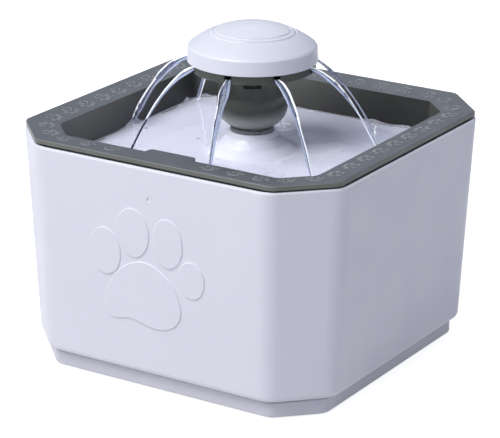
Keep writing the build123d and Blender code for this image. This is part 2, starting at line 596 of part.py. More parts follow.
with BuildPart() as pump_body:
    with BuildSketch(Plane.XY.offset(PUMP_Z)):
        with Locations((0, (PUMP_FRONT_Y + PUMP_BACK_Y) / 2)):
            RectangleRounded(2 * PUMP_HALF_WIDE, PUMP_BACK_Y - PUMP_FRONT_Y, 3)
    extrude(amount=PUMP_TALL)
    with BuildSketch(Plane.XY.offset(PUMP_TOP_Z - 0.5)):
        Circle(STUB_R)
    extrude(amount=STUB_TALL + 0.5)
    # volute with the recess for its cover, and the blind tube that the rotor runs in
    with BuildSketch(Plane.XZ.offset(-PUMP_FRONT_Y)):
        with Locations((0, ROTOR_Z)):
            Circle(VOLUTE_R + 1.6)
    extrude(amount=-COVER_RECESS, mode=Mode.SUBTRACT)
    with BuildSketch(Plane.XZ.offset(-PUMP_FRONT_Y)):
        with Locations((0, ROTOR_Z)):
            Circle(VOLUTE_R)
    extrude(amount=-(VOLUTE_BACK_Y - PUMP_FRONT_Y), mode=Mode.SUBTRACT)
    # motor cavity, open at the back, round the rotor tube
    with BuildSketch(Plane.XZ.offset(-PUMP_BACK_Y)):
        with Locations((0, PUMP_MID_Z)):
            Rectangle(2 * (PUMP_HALF_WIDE - CAVITY_WALL), PUMP_TALL - 2 * CAVITY_WALL - 2)
        with Locations((0, ROTOR_Z)):
            Circle(ROTOR_TUBE, mode=Mode.SUBTRACT)
    extrude(amount=PUMP_BACK_Y - CAVITY_FRONT_Y, mode=Mode.SUBTRACT)
    with BuildSketch(Plane.XZ.offset(-PUMP_BACK_Y)):
        with Locations((0, ROTOR_Z)):
            Circle(ROTOR_TUBE + 0.5)
    extrude(amount=PUMP_BACK_Y - ROTOR_END_Y - 1.6, mode=Mode.SUBTRACT)
    with BuildSketch(Plane.XZ.offset(-VOLUTE_BACK_Y)):
        with Locations((0, ROTOR_Z)):
            Circle(ROTOR_BORE)
    extrude(amount=-(ROTOR_END_Y - VOLUTE_BACK_Y), mode=Mode.SUBTRACT)
    # seat for the rear bush at the end of the rotor bore
    with BuildSketch(Plane.XZ.offset(-ROTOR_END_Y)):
        with Locations((0, ROTOR_Z)):
            Circle(BUSH_R + 1.6)
            Circle(BUSH_R, mode=Mode.SUBTRACT)
    extrude(amount=BUSH_LONG)
    # outlet from the volute up through the stub
    with BuildSketch(Plane.XY.offset(ROTOR_Z)):
        with Locations((0, (PUMP_FRONT_Y + COVER_RECESS + VOLUTE_BACK_Y) / 2 + 2.6)):
            Circle(STUB_BORE)
    extrude(amount=PUMP_TOP_Z + STUB_TALL - ROTOR_Z, mode=Mode.SUBTRACT)
    # sockets for the suction cups
    with BuildSketch(Plane.XY.offset(PUMP_Z)):
        with Locations(*cup_places):
            Circle(CUP_STEM_R + 0.1)
    extrude(amount=CUP_STEM_DEEP, mode=Mode.SUBTRACT)
finish(pump_body, "pump_body")

with BuildPart() as stator_core:
    with BuildSketch(Plane.XZ.offset(-CORE_Y[0])):
        with Locations((0, (BRIDGE_LOW_Z + BRIDGE_HIGH_Z) / 2)):
            Rectangle(2 * CORE_HALF, BRIDGE_HIGH_Z - BRIDGE_LOW_Z)
        for side in (-1, 1):
            with Locations((side * (CORE_HALF - CORE_LEG / 2), (ROTOR_Z - 8 + BRIDGE_HIGH_Z) / 2)):
                Rectangle(CORE_LEG, BRIDGE_HIGH_Z - ROTOR_Z + 8)
    extrude(amount=-(CORE_Y[1] - CORE_Y[0]))
finish(stator_core, "stator_core")

with BuildPart() as stator_coil:
    with BuildSketch(Plane.YZ.offset(-COIL_HALF)):
        with Locations(((CORE_Y[0] + CORE_Y[1]) / 2, (BRIDGE_LOW_Z + BRIDGE_HIGH_Z) / 2)):
            coil_deep = CORE_Y[1] - CORE_Y[0] + 2 * COIL_THICK
            RectangleRounded(coil_deep, BRIDGE_HIGH_Z - BRIDGE_LOW_Z + 2 * COIL_THICK, 1.2)
            Rectangle(CORE_Y[1] - CORE_Y[0], BRIDGE_HIGH_Z - BRIDGE_LOW_Z, mode=Mode.SUBTRACT)
    extrude(amount=2 * COIL_HALF)
finish(stator_coil, "stator_coil")

LEAD_POINTS = [
    (9.0, 32.0, 27.0),
    (9.0, 51.0, 27.0),
    (14.0, 67.0, 36.0),
    (17.0, 75.0, 54.0),
    (12.0, 71.0, 72.0),
    (5.0, 68.0, 88.0),
    (0.0, tank_half(GROMMET_Z) - 14.0 * LEAN_COS, GROMMET_Z + 14.0 * LEAN_SIN),
    (0.0, tank_half(GROMMET_Z) - 0.6 * LEAN_COS, GROMMET_Z + 0.6 * LEAN_SIN),
]


def bend_radii(points):
    """The largest bend that the shorter run at each corner leaves room for."""
    radii = []
    for before, here, after in zip(points, points[1:], points[2:]):
        run_in = Vector(*here) - Vector(*before)
        run_out = Vector(*after) - Vector(*here)
        turn = radians(run_in.get_angle(run_out))
        radii.append(0.45 * min(run_in.length, run_out.length) / tan(turn / 2))
    return radii


lead_radii = bend_radii(LEAD_POINTS)
print("lead bend radii", [round(radius, 1) for radius in lead_radii])
with BuildPart() as pump_lead:
    with BuildLine() as lead_path:
        FilletPolyline(*LEAD_POINTS, radius=lead_radii)
    with BuildSketch(Plane(origin=LEAD_POINTS[0], x_dir=(1, 0, 0), z_dir=(0, 1, 0))):
        Circle(LEAD_R)
    sweep()
lead_length = sum(edge.length for edge in lead_path.edges())
print("lead length", round(lead_length, 1), "volume ratio",
      round(pump_lead.part.volume / (lead_length * pi * LEAD_R ** 2), 4))
finish(pump_lead, "pump_lead")

with BuildPart() as pump_potting:
    with BuildSketch(Plane.XZ.offset(-CAVITY_FRONT_Y)):
        with Locations((0, PUMP_MID_Z)):
            Rectangle(2 * (PUMP_HALF_WIDE - CAVITY_WALL), PUMP_TALL - 2 * CAVITY_WALL - 2)
    extrude(amount=-(PUMP_BACK_Y - 0.8 - CAVITY_FRONT_Y))
    with BuildSketch(Plane.XZ.offset(-CAVITY_FRONT_Y)):
        with Locations((0, ROTOR_Z)):
            Circle(ROTOR_TUBE)
    extrude(amount=-(ROTOR_END_Y + 1.6 - CAVITY_FRONT_Y), mode=Mode.SUBTRACT)
    add(stator_core.part, mode=Mode.SUBTRACT)
    add(stator_coil.part, mode=Mode.SUBTRACT)
    with BuildSketch(Plane.XZ.offset(-LEAD_POINTS[0][1])):
        with Locations((LEAD_POINTS[0][0], LEAD_POINTS[0][2])):
            Circle(LEAD_R)
    extrude(amount=-10, mode=Mode.SUBTRACT)
finish(pump_potting, "pump_potting")

COVER_Y = PUMP_FRONT_Y + COVER_RECESS
HUB_R = 3.0
HUB_FRONT_Y = COVER_Y + 0.8
HUB_BACK_Y = ROTOR_END_Y - BUSH_LONG - 0.5


def ring_along_y(radius, bore, y_front, y_back):
    """A ring on the rotor's axis between two places along Y, added to the open part."""
    with BuildSketch(Plane.XZ.offset(-y_front), mode=Mode.PRIVATE) as ring:
        with Locations((0, ROTOR_Z)):
            Circle(radius)
            if bore > 0:
                Circle(bore, mode=Mode.SUBTRACT)
    extrude(ring.sketch, amount=-(y_back - y_front))


with BuildPart() as impeller_cover:
    with BuildSketch(Plane.XZ.offset(-PUMP_FRONT_Y)):
        with Locations((0, ROTOR_Z)):
            Circle(VOLUTE_R + 1.6)
            Circle(EYE_R + 2.4, mode=Mode.SUBTRACT)
        with Locations((0, ROTOR_Z)):
            Circle(BUSH_R + 1.2)
        for turn in range(3):
            spoke_angle = 90 + 120 * turn
            spoke_reach = EYE_R + 1.0
            spoke_x = spoke_reach * cos(radians(spoke_angle))
            spoke_z = ROTOR_Z + spoke_reach * sin(radians(spoke_angle))
            with Locations((spoke_x, spoke_z)):
                Rectangle(5.6, 1.4, rotation=spoke_angle)
        with Locations((0, ROTOR_Z)):
            Circle(BUSH_R, mode=Mode.SUBTRACT)
    extrude(amount=-COVER_RECESS)
    ring_along_y(BUSH_R + 1.2, BUSH_R, COVER_Y - BUSH_LONG, PUMP_FRONT_Y)
finish(impeller_cover, "impeller_cover")

with BuildPart() as front_bush:
    ring_along_y(BUSH_R, SHAFT_R, COVER_Y - BUSH_LONG, COVER_Y)
finish(front_bush, "front_bush")

with BuildPart() as rear_bush:
    ring_along_y(BUSH_R, SHAFT_R, ROTOR_END_Y - BUSH_LONG, ROTOR_END_Y)
finish(rear_bush, "rear_bush")

with BuildPart() as impeller_shaft:
    ring_along_y(SHAFT_R, 0, COVER_Y - BUSH_LONG, ROTOR_END_Y)
finish(impeller_shaft, "impeller_shaft")

PLATE_Y = VOLUTE_BACK_Y - 1.8
with BuildPart() as impeller:
    ring_along_y(HUB_R, SHAFT_R + 0.06, HUB_FRONT_Y, HUB_BACK_Y)
    ring_along_y(IMPELLER_R, HUB_R - 0.5, PLATE_Y, PLATE_Y + 1.2)
    for turn in range(BLADES):
        blade_angle = 360 / BLADES * turn
        blade_mid = (HUB_R + IMPELLER_R) / 2 - 0.4
        blade_x = blade_mid * cos(radians(blade_angle))
        blade_z = ROTOR_Z + blade_mid * sin(radians(blade_angle))
        with BuildSketch(Plane.XZ.offset(-HUB_FRONT_Y)):
            with Locations((blade_x, blade_z)):
                Rectangle(IMPELLER_R - HUB_R + 0.8, 1.3, rotation=blade_angle)
        extrude(amount=-(PLATE_Y - HUB_FRONT_Y + 0.2))
finish(impeller, "impeller")

with BuildPart() as rotor_magnet:
    ring_along_y(MAGNET_R, HUB_R, VOLUTE_BACK_Y + 1.0, HUB_BACK_Y - 0.4)
finish(rotor_magnet, "rotor_magnet")

with BuildPart() as riser_tube:
    with BuildSketch(Plane.XY.offset(PUMP_TOP_Z + 1.2)):
        Circle(RISER_R)
        Circle(STUB_R, mode=Mode.SUBTRACT)
    extrude(amount=RISER_TOP_Z - PUMP_TOP_Z - 1.2)
finish(riser_tube, "riser_tube")

# ---- strainer, sponge and flow slider ---------------------------------------------------------
STRAINER_WALL = 1.4
SLIDER_Z = PUMP_Z + 10.2
SLIDER_TALL = 10.0
SLIDER_HALF = 9.0
SLIDER_THICK = 1.4
TAB_HALF = 1.6
TAB_TALL = 3.2
strainer_deep = PUMP_FRONT_Y - STRAINER_FRONT_Y
inner_front_y = STRAINER_FRONT_Y + STRAINER_WALL

with BuildPart() as pump_strainer:
    with BuildSketch(Plane.XZ.offset(-PUMP_FRONT_Y)):
        with Locations((0, PUMP_MID_Z)):
            RectangleRounded(2 * PUMP_HALF_WIDE, PUMP_TALL, 2.5)
    extrude(amount=strainer_deep)
    fillet(pump_strainer.faces().sort_by(Axis.Y)[0].edges(), 1.2)
    with BuildSketch(Plane.XZ.offset(-PUMP_FRONT_Y)):
        with Locations((0, PUMP_MID_Z)):
            RectangleRounded(2 * (PUMP_HALF_WIDE - STRAINER_WALL), PUMP_TALL - 2 * STRAINER_WALL, 1.2)
    extrude(amount=strainer_deep - STRAINER_WALL, mode=Mode.SUBTRACT)
    with BuildSketch(Plane.XZ.offset(-STRAINER_FRONT_Y)):
        with Locations((0, PUMP_Z + 25.5)):
            with GridLocations(4.4, 0, 8, 1):
                SlotOverall(14, 2.2, rotation=90)
        # two inlet slots that the slider covers, and the slot that its tab runs in
        for inlet_x in (-6.6, -3.4):
            with Locations((inlet_x, SLIDER_Z)):
                SlotOverall(8.4, 1.8, rotation=90)
        with Locations((SLIDER_TRAVEL / 2 + 1.0, SLIDER_Z)):
            Rectangle(SLIDER_TRAVEL + 2 * TAB_HALF + 0.6, TAB_TALL + 0.5)
    extrude(amount=-STRAINER_WALL, mode=Mode.SUBTRACT)
finish(pump_strainer, "pump_strainer")

with BuildPart() as flow_slider:
    with BuildSketch(Plane.XZ.offset(-inner_front_y)):
        with Locations((0, SLIDER_Z)):
            Rectangle(2 * SLIDER_HALF, SLIDER_TALL)
    extrude(amount=-SLIDER_THICK)
    with BuildSketch(Plane.XZ.offset(-inner_front_y - SLIDER_THICK / 2)):
        with Locations((1.0, SLIDER_Z)):
            Rectangle(2 * TAB_HALF, TAB_TALL)
    extrude(amount=SLIDER_THICK / 2 + STRAINER_WALL + 2)
finish(flow_slider, "flow_slider")

with BuildPart() as foam_prefilter:
    foam_y = (inner_front_y + SLIDER_THICK + 0.4, PUMP_FRONT_Y - BUSH_LONG - 1.6)
    with BuildSketch(Plane.XZ.offset(-foam_y[0])):
        with Locations((0, PUMP_MID_Z)):
            foam_wide = 2 * (PUMP_HALF_WIDE - STRAINER_WALL) - 0.4
            RectangleRounded(foam_wide, PUMP_TALL - 2 * STRAINER_WALL - 0.4, 2)
    extrude(amount=-(foam_y[1] - foam_y[0]))
finish(foam_prefilter, "foam_prefilter")

with BuildPart() as suction_cups:
    with Locations(*[(x, y, TANK_FLOOR_Z) for x, y in cup_places]):
        Cone(6.4, CUP_STEM_R, 4.2, align=(Align.CENTER, Align.CENTER, Align.MIN))
        Cylinder(CUP_STEM_R, CUP_TALL + CUP_STEM_DEEP - 0.1, align=(Align.CENTER, Align.CENTER, Align.MIN))
        Cone(5.2, 1.2, 1.8, align=(Align.CENTER, Align.CENTER, Align.MIN), mode=Mode.SUBTRACT)
finish(suction_cups, "suction_cups")

with BuildPart() as cable_grommet:
    wall_deep = TANK_WALL * LEAN_COS
    grommet_rings = (
        # start, depth, radius
        (0, GROMMET_FLANGE, GROMMET_FLANGE_R),
        (-wall_deep, wall_deep, GROMMET_R),
        (-wall_deep - GROMMET_LIP, GROMMET_LIP, GROMMET_LIP_R),
    )
    for start, deep, radius in grommet_rings:
        with BuildSketch(BACK_FACE.offset(start)):
            Circle(radius)
        extrude(amount=deep)
    fillet(cable_grommet.edges().filter_by(GeomType.CIRCLE).sort_by(Axis.Y)[-1], GROMMET_FLANGE / 2)
    with BuildSketch(BACK_FACE.offset(-wall_deep - 2)):
        Circle(LEAD_R)
    extrude(amount=wall_deep + 4, mode=Mode.SUBTRACT)
finish(cable_grommet, "cable_grommet")
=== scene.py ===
import math
import random
from collections import namedtuple

import bmesh
import bpy
from mathutils import Matrix, Vector, noise
from mathutils.bvhtree import BVHTree


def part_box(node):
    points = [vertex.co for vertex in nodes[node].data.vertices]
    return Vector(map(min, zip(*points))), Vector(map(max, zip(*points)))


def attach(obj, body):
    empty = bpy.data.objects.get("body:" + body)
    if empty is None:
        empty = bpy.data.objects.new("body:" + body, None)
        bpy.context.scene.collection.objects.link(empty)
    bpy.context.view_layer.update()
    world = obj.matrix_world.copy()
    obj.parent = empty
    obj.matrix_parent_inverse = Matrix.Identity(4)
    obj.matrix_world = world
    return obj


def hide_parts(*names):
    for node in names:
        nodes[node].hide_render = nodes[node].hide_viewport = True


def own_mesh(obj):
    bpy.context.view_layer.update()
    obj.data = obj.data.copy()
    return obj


# The looks of a square pet water fountain: finishes, the water, the fine relief on the rim,
# the soft parts of the filter, the light and the camera. Metres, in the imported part's frame.

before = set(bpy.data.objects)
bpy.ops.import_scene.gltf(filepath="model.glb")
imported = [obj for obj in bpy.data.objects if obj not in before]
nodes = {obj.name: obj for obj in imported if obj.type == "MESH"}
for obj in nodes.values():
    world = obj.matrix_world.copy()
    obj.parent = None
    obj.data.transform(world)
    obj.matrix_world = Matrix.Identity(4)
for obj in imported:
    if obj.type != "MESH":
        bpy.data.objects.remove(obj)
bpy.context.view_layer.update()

MM = 0.001
TAU = 2 * math.pi
DOWN = Vector((0, 0, -1))

# ---- places in the frame -----------------------------------------------------------------------
LID_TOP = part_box("rim_frame")[1].z
TRAY_TOP = LID_TOP - 19.5 * MM
WATER_LEVEL = TRAY_TOP + 1.7 * MM
OUTLET_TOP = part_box("cap")[0].z
DISC_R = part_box("spray_disc")[1].x
WELL_HALF = 75.2 * MM             # from the middle of the well to its wall, at the water
WELL_LEG = 14.0 * MM              # what a cut corner takes off each side of the well
CORNER_SOFT = 3.0 * MM            # how wide the ends of a cut corner are rounded
SHORE = 11.9 * MM                 # the film on the mound ends here, under the gasket


# ---- nodes -------------------------------------------------------------------------------------
class Tree:
    """A node tree with short calls for the nodes that are used more than once."""

    def __init__(self, tree):
        self.tree = tree

    def node(self, kind, **settings):
        made = self.tree.nodes.new(kind)
        for name, value in settings.items():
            setattr(made, name, value)
        return made

    def link(self, source, target):
        self.tree.links.new(source, target)

    def math(self, operation, first, second=0.0):
        """An operation on two values; each is a number or a socket."""
        node = self.node("ShaderNodeMath", operation=operation)
        for socket, value in zip(node.inputs, (first, second)):
            if isinstance(value, (int, float)):
                socket.default_value = value
            else:
                self.link(value, socket)
        return node.outputs[0]

    def split(self, vector):
        """A vector's X, Y and Z."""
        node = self.node("ShaderNodeSeparateXYZ")
        self.link(vector, node.inputs[0])
        return node.outputs

    def remap(self, value, low, high, to_low=0.0, to_high=1.0, smooth=True):
        node = self.node("ShaderNodeMapRange")
        node.interpolation_type = "SMOOTHSTEP" if smooth else "LINEAR"
        node.inputs["From Min"].default_value = low
        node.inputs["From Max"].default_value = high
        node.inputs["To Min"].default_value = to_low
        node.inputs["To Max"].default_value = to_high
        self.link(value, node.inputs["Value"])
        return node.outputs["Result"]

    def choose(self, factor, first, second):
        """One shader where the factor is 0, and the other where it is 1."""
        node = self.node("ShaderNodeMixShader")
        for socket, source in zip(node.inputs, (factor, first, second)):
            self.link(source, socket)
        return node.outputs[0]


class Surface(Tree):
    """A material with its main shader and the textures that the finishes share."""

    NOISE_SPAN = (0.3, 0.7)  # most noise lies between these

    def __init__(self, name):
        self.material = bpy.data.materials.new(name)
        self.material.use_nodes = True
        super().__init__(self.material.node_tree)
        self.shader = self.tree.nodes["Principled BSDF"]
        self.output = self.tree.nodes["Material Output"]
        self.place = self.node("ShaderNodeTexCoord").outputs["Object"]

    def set(self, **values):
        """Plain values for the main shader, with _ for each space in an input's name."""
        for name, value in values.items():
            self.shader.inputs[name.replace("_", " ")].default_value = value

    def stretched(self, scale):
        """Object coordinates scaled apart along the three axes."""
        mapping = self.node("ShaderNodeMapping")
        mapping.inputs["Scale"].default_value = scale
        self.link(self.place, mapping.inputs["Vector"])
        return mapping.outputs["Vector"]

    def noise(self, scale, detail=3.0, roughness=0.5, where=None, distortion=0.0):
        texture = self.node("ShaderNodeTexNoise")
        texture.inputs["Scale"].default_value = scale
        texture.inputs["Detail"].default_value = detail
        texture.inputs["Roughness"].default_value = roughness
        texture.inputs["Distortion"].default_value = distortion
        self.link(where or self.place, texture.inputs["Vector"])
        return texture.outputs["Fac"]

    def patches(self, scale, detail, low=0.0, high=1.0):
        """Soft patches with values from low to high."""
        return self.remap(self.noise(scale, detail), *self.NOISE_SPAN, low, high)

    def cells(self, scale):
        texture = self.node("ShaderNodeTexVoronoi", feature="F1")
        texture.inputs["Scale"].default_value = scale
        self.link(self.place, texture.inputs["Vector"])
        return texture.outputs["Distance"]

    def blend(self, factor, first, second, blend_type="MIX"):
        """A colour between two; each is a colour or a socket."""
        node = self.node("ShaderNodeMix", data_type="RGBA", blend_type=blend_type)
        if isinstance(factor, (int, float)):
            node.inputs["Factor"].default_value = factor
        else:
            self.link(factor, node.inputs["Factor"])
        for socket, value in ((node.inputs[6], first), (node.inputs[7], second)):
            if isinstance(value, (tuple, list)):
                socket.default_value = (*value, 1.0)
            else:
                self.link(value, socket)
        return node.outputs[2]

    def bump(self, height, deep, over=None):
        """A normal from heights of 0 to 1, deep mm apart, on top of another normal."""
        node = self.node("ShaderNodeBump")
        node.inputs["Distance"].default_value = deep * MM
        self.link(height, node.inputs["Height"])
        if over is not None:
            self.link(over, node.inputs["Normal"])
        return node.outputs["Normal"]

    def facing(self):
        """The surface's direction: X, Y and Z from -1 to 1."""
        return self.split(self.node("ShaderNodeNewGeometry").outputs["Normal"])

    def colour(self, socket):
        self.link(socket, self.shader.inputs["Base Color"])

    def toned(self, tone):
        """Multiplies the colour that is linked so far."""
        painted = self.shader.inputs["Base Color"].links[0].from_socket
        self.colour(self.blend(1.0, painted, tone, "MULTIPLY"))

    def roughness(self, socket):
        self.link(socket, self.shader.inputs["Roughness"])

    def normal(self, socket):
        self.link(socket, self.shader.inputs["Normal"])


def scaled(colour, share):
    """A colour made darker or paler."""
    return tuple(c * share for c in colour)


# ---- kinds of material -------------------------------------------------------------------------
# Scales are per metre and depths are in mm.

# thin scuffs in two directions: marks along X, Y and Z, and where in the noise they start and end
SCUFF_MARKS = (((900, 60, 90), 0.63, 0.72), ((70, 800, 60), 0.64, 0.73))
SCUFF_ROUGH = 0.12     # what a scuff adds to the roughness
PATCHY = 0.05          # how far the roughness of plastic drifts either way


def moulded(name, colour, shade, rough, grain, grain_deep, scuff=0.3, waves=0.04):
    """A moulded plastic: slow drift of colour, grain from the tool, faint scuffs and worn edges."""
    s = Surface(name)
    base = s.blend(s.patches(16, 3), colour, shade)
    marks, crossed = (
        s.remap(s.noise(1.0, 4, 0.6, s.stretched(scale), 0.6), start, full)
        for scale, start, full in SCUFF_MARKS
    )
    handled = s.remap(s.noise(30, 2), 0.45, 0.65)
    scuffs = s.math("MULTIPLY", s.math("MAXIMUM", marks, crossed), handled)
    worn = tuple(min(1.0, c * 1.25 + 0.02) for c in colour)
    s.colour(s.blend(s.math("MULTIPLY", scuffs, scuff), base, worn))
    patchy = s.patches(55, 4, rough - PATCHY, rough + PATCHY)
    s.roughness(s.math("ADD", patchy, s.math("MULTIPLY", scuffs, SCUFF_ROUGH)))
    broad = s.bump(s.noise(28, 2), waves)
    s.normal(s.bump(s.noise(grain, 2, 0.6), grain_deep, over=broad))
    s.set(IOR=1.5)
    return s


def white_plastic(name, colour, rough, top=None):
    """Smooth white plastic, with painted shade on its tops where a tone for them is given."""
    s = moulded(name, colour, scaled(colour, 0.992), rough, 1400, 0.004, scuff=0.03, waves=0.01)
    if top:
        # painted shade: the faces that look up are darker
        upward = s.remap(s.facing()["Z"], 0.35, 0.9)
        s.toned(s.blend(upward, (1.0, 1.0, 1.0), (top, top, top)))
    return s.material


WALL_UP = (0.6, 1.3)         # painted shade: the well's wall is darker at the water than under the rim
WALL_ALONG = (0.45, 1.75)    # and painted shade at its right end and painted light at its left, seen from the middle of the well
WALL_RUN = 50 * MM           # from a wall's middle to where those ends are reached
CUT_SHARE = 0.55             # brings a cut corner as far out as the wall beside it


def painted_wall_shade(s, normal, inside, side):
    """The tone of the sides, with painted shade on the well's wall: darker low down and towards its
    right end.
    """
    place = s.split(s.place)
    high = s.remap(place["Z"], TRAY_TOP, LID_TOP - 2 * MM, smooth=False)
    wall = s.blend(high, *(scaled(inside, share) for share in WALL_UP))
    to_left = s.math(
        "SUBTRACT",
        s.math("MULTIPLY", place["X"], normal["Y"]),
        s.math("MULTIPLY", place["Y"], normal["X"]),
    )
    shaded = s.node("ShaderNodeVectorMath", operation="SCALE")
    s.link(wall, shaded.inputs[0])
    s.link(s.remap(to_left, -WALL_RUN, WALL_RUN, *WALL_ALONG), shaded.inputs["Scale"])
    # the wall stands closer to the middle than the rim's outer edge
    x, y = (s.math("ABSOLUTE", place[axis]) for axis in "XY")
    cut = s.math("MULTIPLY", s.math("ADD", x, y), CUT_SHARE)
    reach = s.math("MAXIMUM", s.math("MAXIMUM", x, y), cut)
    beyond = s.remap(reach, WELL_HALF + 2 * MM, WELL_HALF + 3 * MM)
    return s.blend(beyond, shaded.outputs[0], side)


def grey_plastic(name, colour, top, side, rough, coat=0.0, inside=None, edge=None, under=None):
    """Dark plastic with painted light and shade by facing: a tone each for its tops and sides, and
    where they are given, painted shade on the well's wall (inside), painted highlights on rounded
    edges and painted light on undersides."""
    s = moulded(name, colour, scaled(colour, 0.9), rough, 2600, 0.02)
    normal = s.facing()
    upward = s.remap(normal["Z"], 0.3, 0.9)
    # painted shade on the well's wall
    if inside:
        side = painted_wall_shade(s, normal, inside, side)
    if under:
        # painted light on undersides, as if reflected from the water below
        side = s.blend(s.remap(normal["Z"], -0.55, -0.05), under, side)
    # painted light and shade: tops and sides in tones of their own
    tone = s.blend(upward, side, top)
    if edge:
        # painted highlight on rounded edges: 1 half way between a side and a top
        between = s.math("MULTIPLY", s.math("SUBTRACT", 1.0, upward), upward)
        tone = s.blend(s.math("MULTIPLY", between, 4.0), tone, edge)
    s.toned(tone)
    s.set(Coat_Weight=coat, Coat_Roughness=0.2)
    return s.material


def rubber(name, colour, rough):
    """Rubber with a faint paler bloom."""
    s = Surface(name)
    bloom = s.remap(s.noise(120, 4, 0.6), 0.35, 0.75)
    s.colour(s.blend(bloom, colour, tuple(min(1, c * 1.5 + 0.02) for c in colour)))
    s.roughness(s.patches(300, 3, rough - 0.1, rough + 0.1))
    s.normal(s.bump(s.noise(1800, 3), 0.03))
    s.set(IOR=1.48)
    return s.material


def metal(name, colour, rough, lines):
    """Metal with drawn lines, so many along X, Y and Z."""
    s = Surface(name)
    drawn = s.noise(1.0, 3, 0.6, s.stretched(lines))
    s.colour(s.blend(s.remap(drawn, *s.NOISE_SPAN), colour, scaled(colour, 0.7)))
    s.roughness(s.patches(200, 3, rough - 0.08, rough + 0.1))
    s.normal(s.bump(drawn, 0.03))
    s.set(Metallic=1.0)
    return s.material


def granular(name, colour, second, scale, deep, rough):
    """Loose grains or beads: rounded cells, each with its own tone."""
    s = Surface(name)
    s.colour(s.blend(s.remap(s.noise(scale * 0.8, 2), 0.35, 0.65), colour, second))
    s.roughness(s.patches(scale, 2, rough - 0.15, rough + 0.1))
    s.normal(s.bump(s.remap(s.cells(scale), 0.0, 0.6, 1.0, 0.0), deep))
    return s.material


def cloth(name, colour, second, fibre):
    """Non-woven cloth or sponge skin: fine matted fibres."""
    s = Surface(name)
    matted = s.noise(fibre, 6, 0.7, distortion=1.5)
    s.colour(s.blend(s.remap(matted, 0.35, 0.65), colour, second))
    s.roughness(s.remap(matted, *s.NOISE_SPAN, 0.8, 0.95))
    s.normal(s.bump(matted, 0.12))
    s.set(Sheen_Weight=0.25, Sheen_Roughness=0.5)
    return s.material


def water(name, tint, clear_share, rough, ripples, ripple_deep, shine=0.5):
    """Water that lets the lamps through, so that what is under it stays lit; fine bubbles
    make it less clear."""
    s = Surface(name)
    s.set(Transmission_Weight=clear_share, IOR=1.333, Roughness=rough, Base_Color=(*tint, 1.0))
    s.set(Specular_IOR_Level=shine)
    s.normal(s.bump(s.noise(ripples, 3, 0.5, distortion=0.6), ripple_deep))
    clear = s.node("ShaderNodeBsdfTransparent")
    clear.inputs["Color"].default_value = (*(0.5 + 0.5 * c for c in tint), 1.0)
    shadow = s.node("ShaderNodeLightPath").outputs["Is Shadow Ray"]
    shown = s.choose(shadow, s.shader.outputs[0], clear.outputs[0])
    s.link(shown, s.output.inputs["Surface"])
    return s


# spots in the well's water: a painted shadow behind the column on the right, clearer water over the
# mound and a painted pool of light right of the column: x, y, how far in full, how far in all (mm),
# tint
WELL_TINT = (0.735, 0.74, 0.80)
WATER_SHADE_LIGHT_AND_CLEAR_SPOTS = (
    (42.0, 54.0, 6.0, 20.0, (0.62, 0.645, 0.735)),
    (0.0, 0.0, 15.9, 31.9, (0.86, 0.865, 0.9)),
    (31.0, 15.0, 6.0, 21.0, (0.97, 0.97, 1.0)),
)


def well_water():
    """The water in the well, with a painted shadow and a painted pool of light in its tint, and
    clearer over the mound.
    """
    s = water("still_water", WELL_TINT, 0.7, 0.02, 160, 0.06, shine=0.25)
    spot = s.split(s.place)
    tint = WELL_TINT
    for x, y, full, faded, local_tint in WATER_SHADE_LIGHT_AND_CLEAR_SPOTS:
        across, along = (
            s.math("POWER", s.math("SUBTRACT", spot[axis], middle * MM), 2.0)
            for axis, middle in (("X", x), ("Y", y))
        )
        away = s.math("POWER", s.math("ADD", across, along), 0.5)
        tint = s.blend(s.remap(away, full * MM, faded * MM), local_tint, tint)
    s.colour(tint)
    return s.material


# ---- the materials -----------------------------------------------------------------------------
WHITE = (0.845, 0.828, 0.905)
GREY = (0.168, 0.18, 0.2)
HEAD_GREY = (0.105, 0.109, 0.1)
AS_IT_IS = (1.0, 1.0, 1.0)

# painted light and shade: darker tops, olive sides, a shaded wall in the well and highlit edges
rim_grey = grey_plastic(
    "rim_grey", GREY, top=(0.65, 0.66, 0.67), side=(0.9, 0.87, 0.68), rough=0.45,
    inside=(0.4, 0.37, 0.29), edge=(1.5, 1.5, 1.36),
)
# the column's sides in painted shade, its undersides in painted light reflected from the water
head_grey = grey_plastic(
    "head_grey", HEAD_GREY, top=AS_IT_IS, side=(0.86, 0.87, 0.77), rough=0.36,
    coat=0.5, under=(2.3, 2.35, 2.2),
)
# the disc's sides in painted shade
disc_grey = grey_plastic("disc_grey", HEAD_GREY, top=AS_IT_IS, side=(0.92, 0.92, 0.83), rough=0.55)
# paler than the rim: a painted highlight on the ridges, with painted shade on their sides
relief_grey_painted_highlight = grey_plastic(
    "relief_grey_painted_highlight", (0.38, 0.39, 0.4), top=AS_IT_IS, side=(0.85, 0.85, 0.85), rough=0.35,
)
gasket_rubber = rubber("gasket_rubber", (0.17, 0.178, 0.17), 0.5)
pump_black = moulded(
    "pump_black", (0.03, 0.031, 0.034), (0.022, 0.023, 0.026), 0.4, 1500, 0.02,
).material
foam_black = cloth("foam_black", (0.045, 0.045, 0.05), (0.012, 0.012, 0.014), 900)
pouch_white = cloth("pouch_white", (0.78, 0.79, 0.8), (0.68, 0.69, 0.71), 1400)
carbon = granular("carbon_grain", (0.02, 0.02, 0.021), (0.045, 0.045, 0.05), 700, 0.7, 0.5)
resin = granular("resin_bead", (0.62, 0.4, 0.14), (0.75, 0.55, 0.24), 1100, 0.4, 0.35)

still_water = well_water()
running_water = water("running_water", (0.62, 0.68, 0.84), 0.6, 0.0, 700, 0.12).material
# painted refraction: a bluish sheet and a dark thread, for what the streams show of their
# surroundings
sheet_water = water("sheet_water", (0.40, 0.44, 0.60), 0.8, 0.0, 500, 0.1).material
painted_dark_water = water("painted_dark_water", (0.07, 0.085, 0.14), 0.6, 0.0, 500, 0.1).material
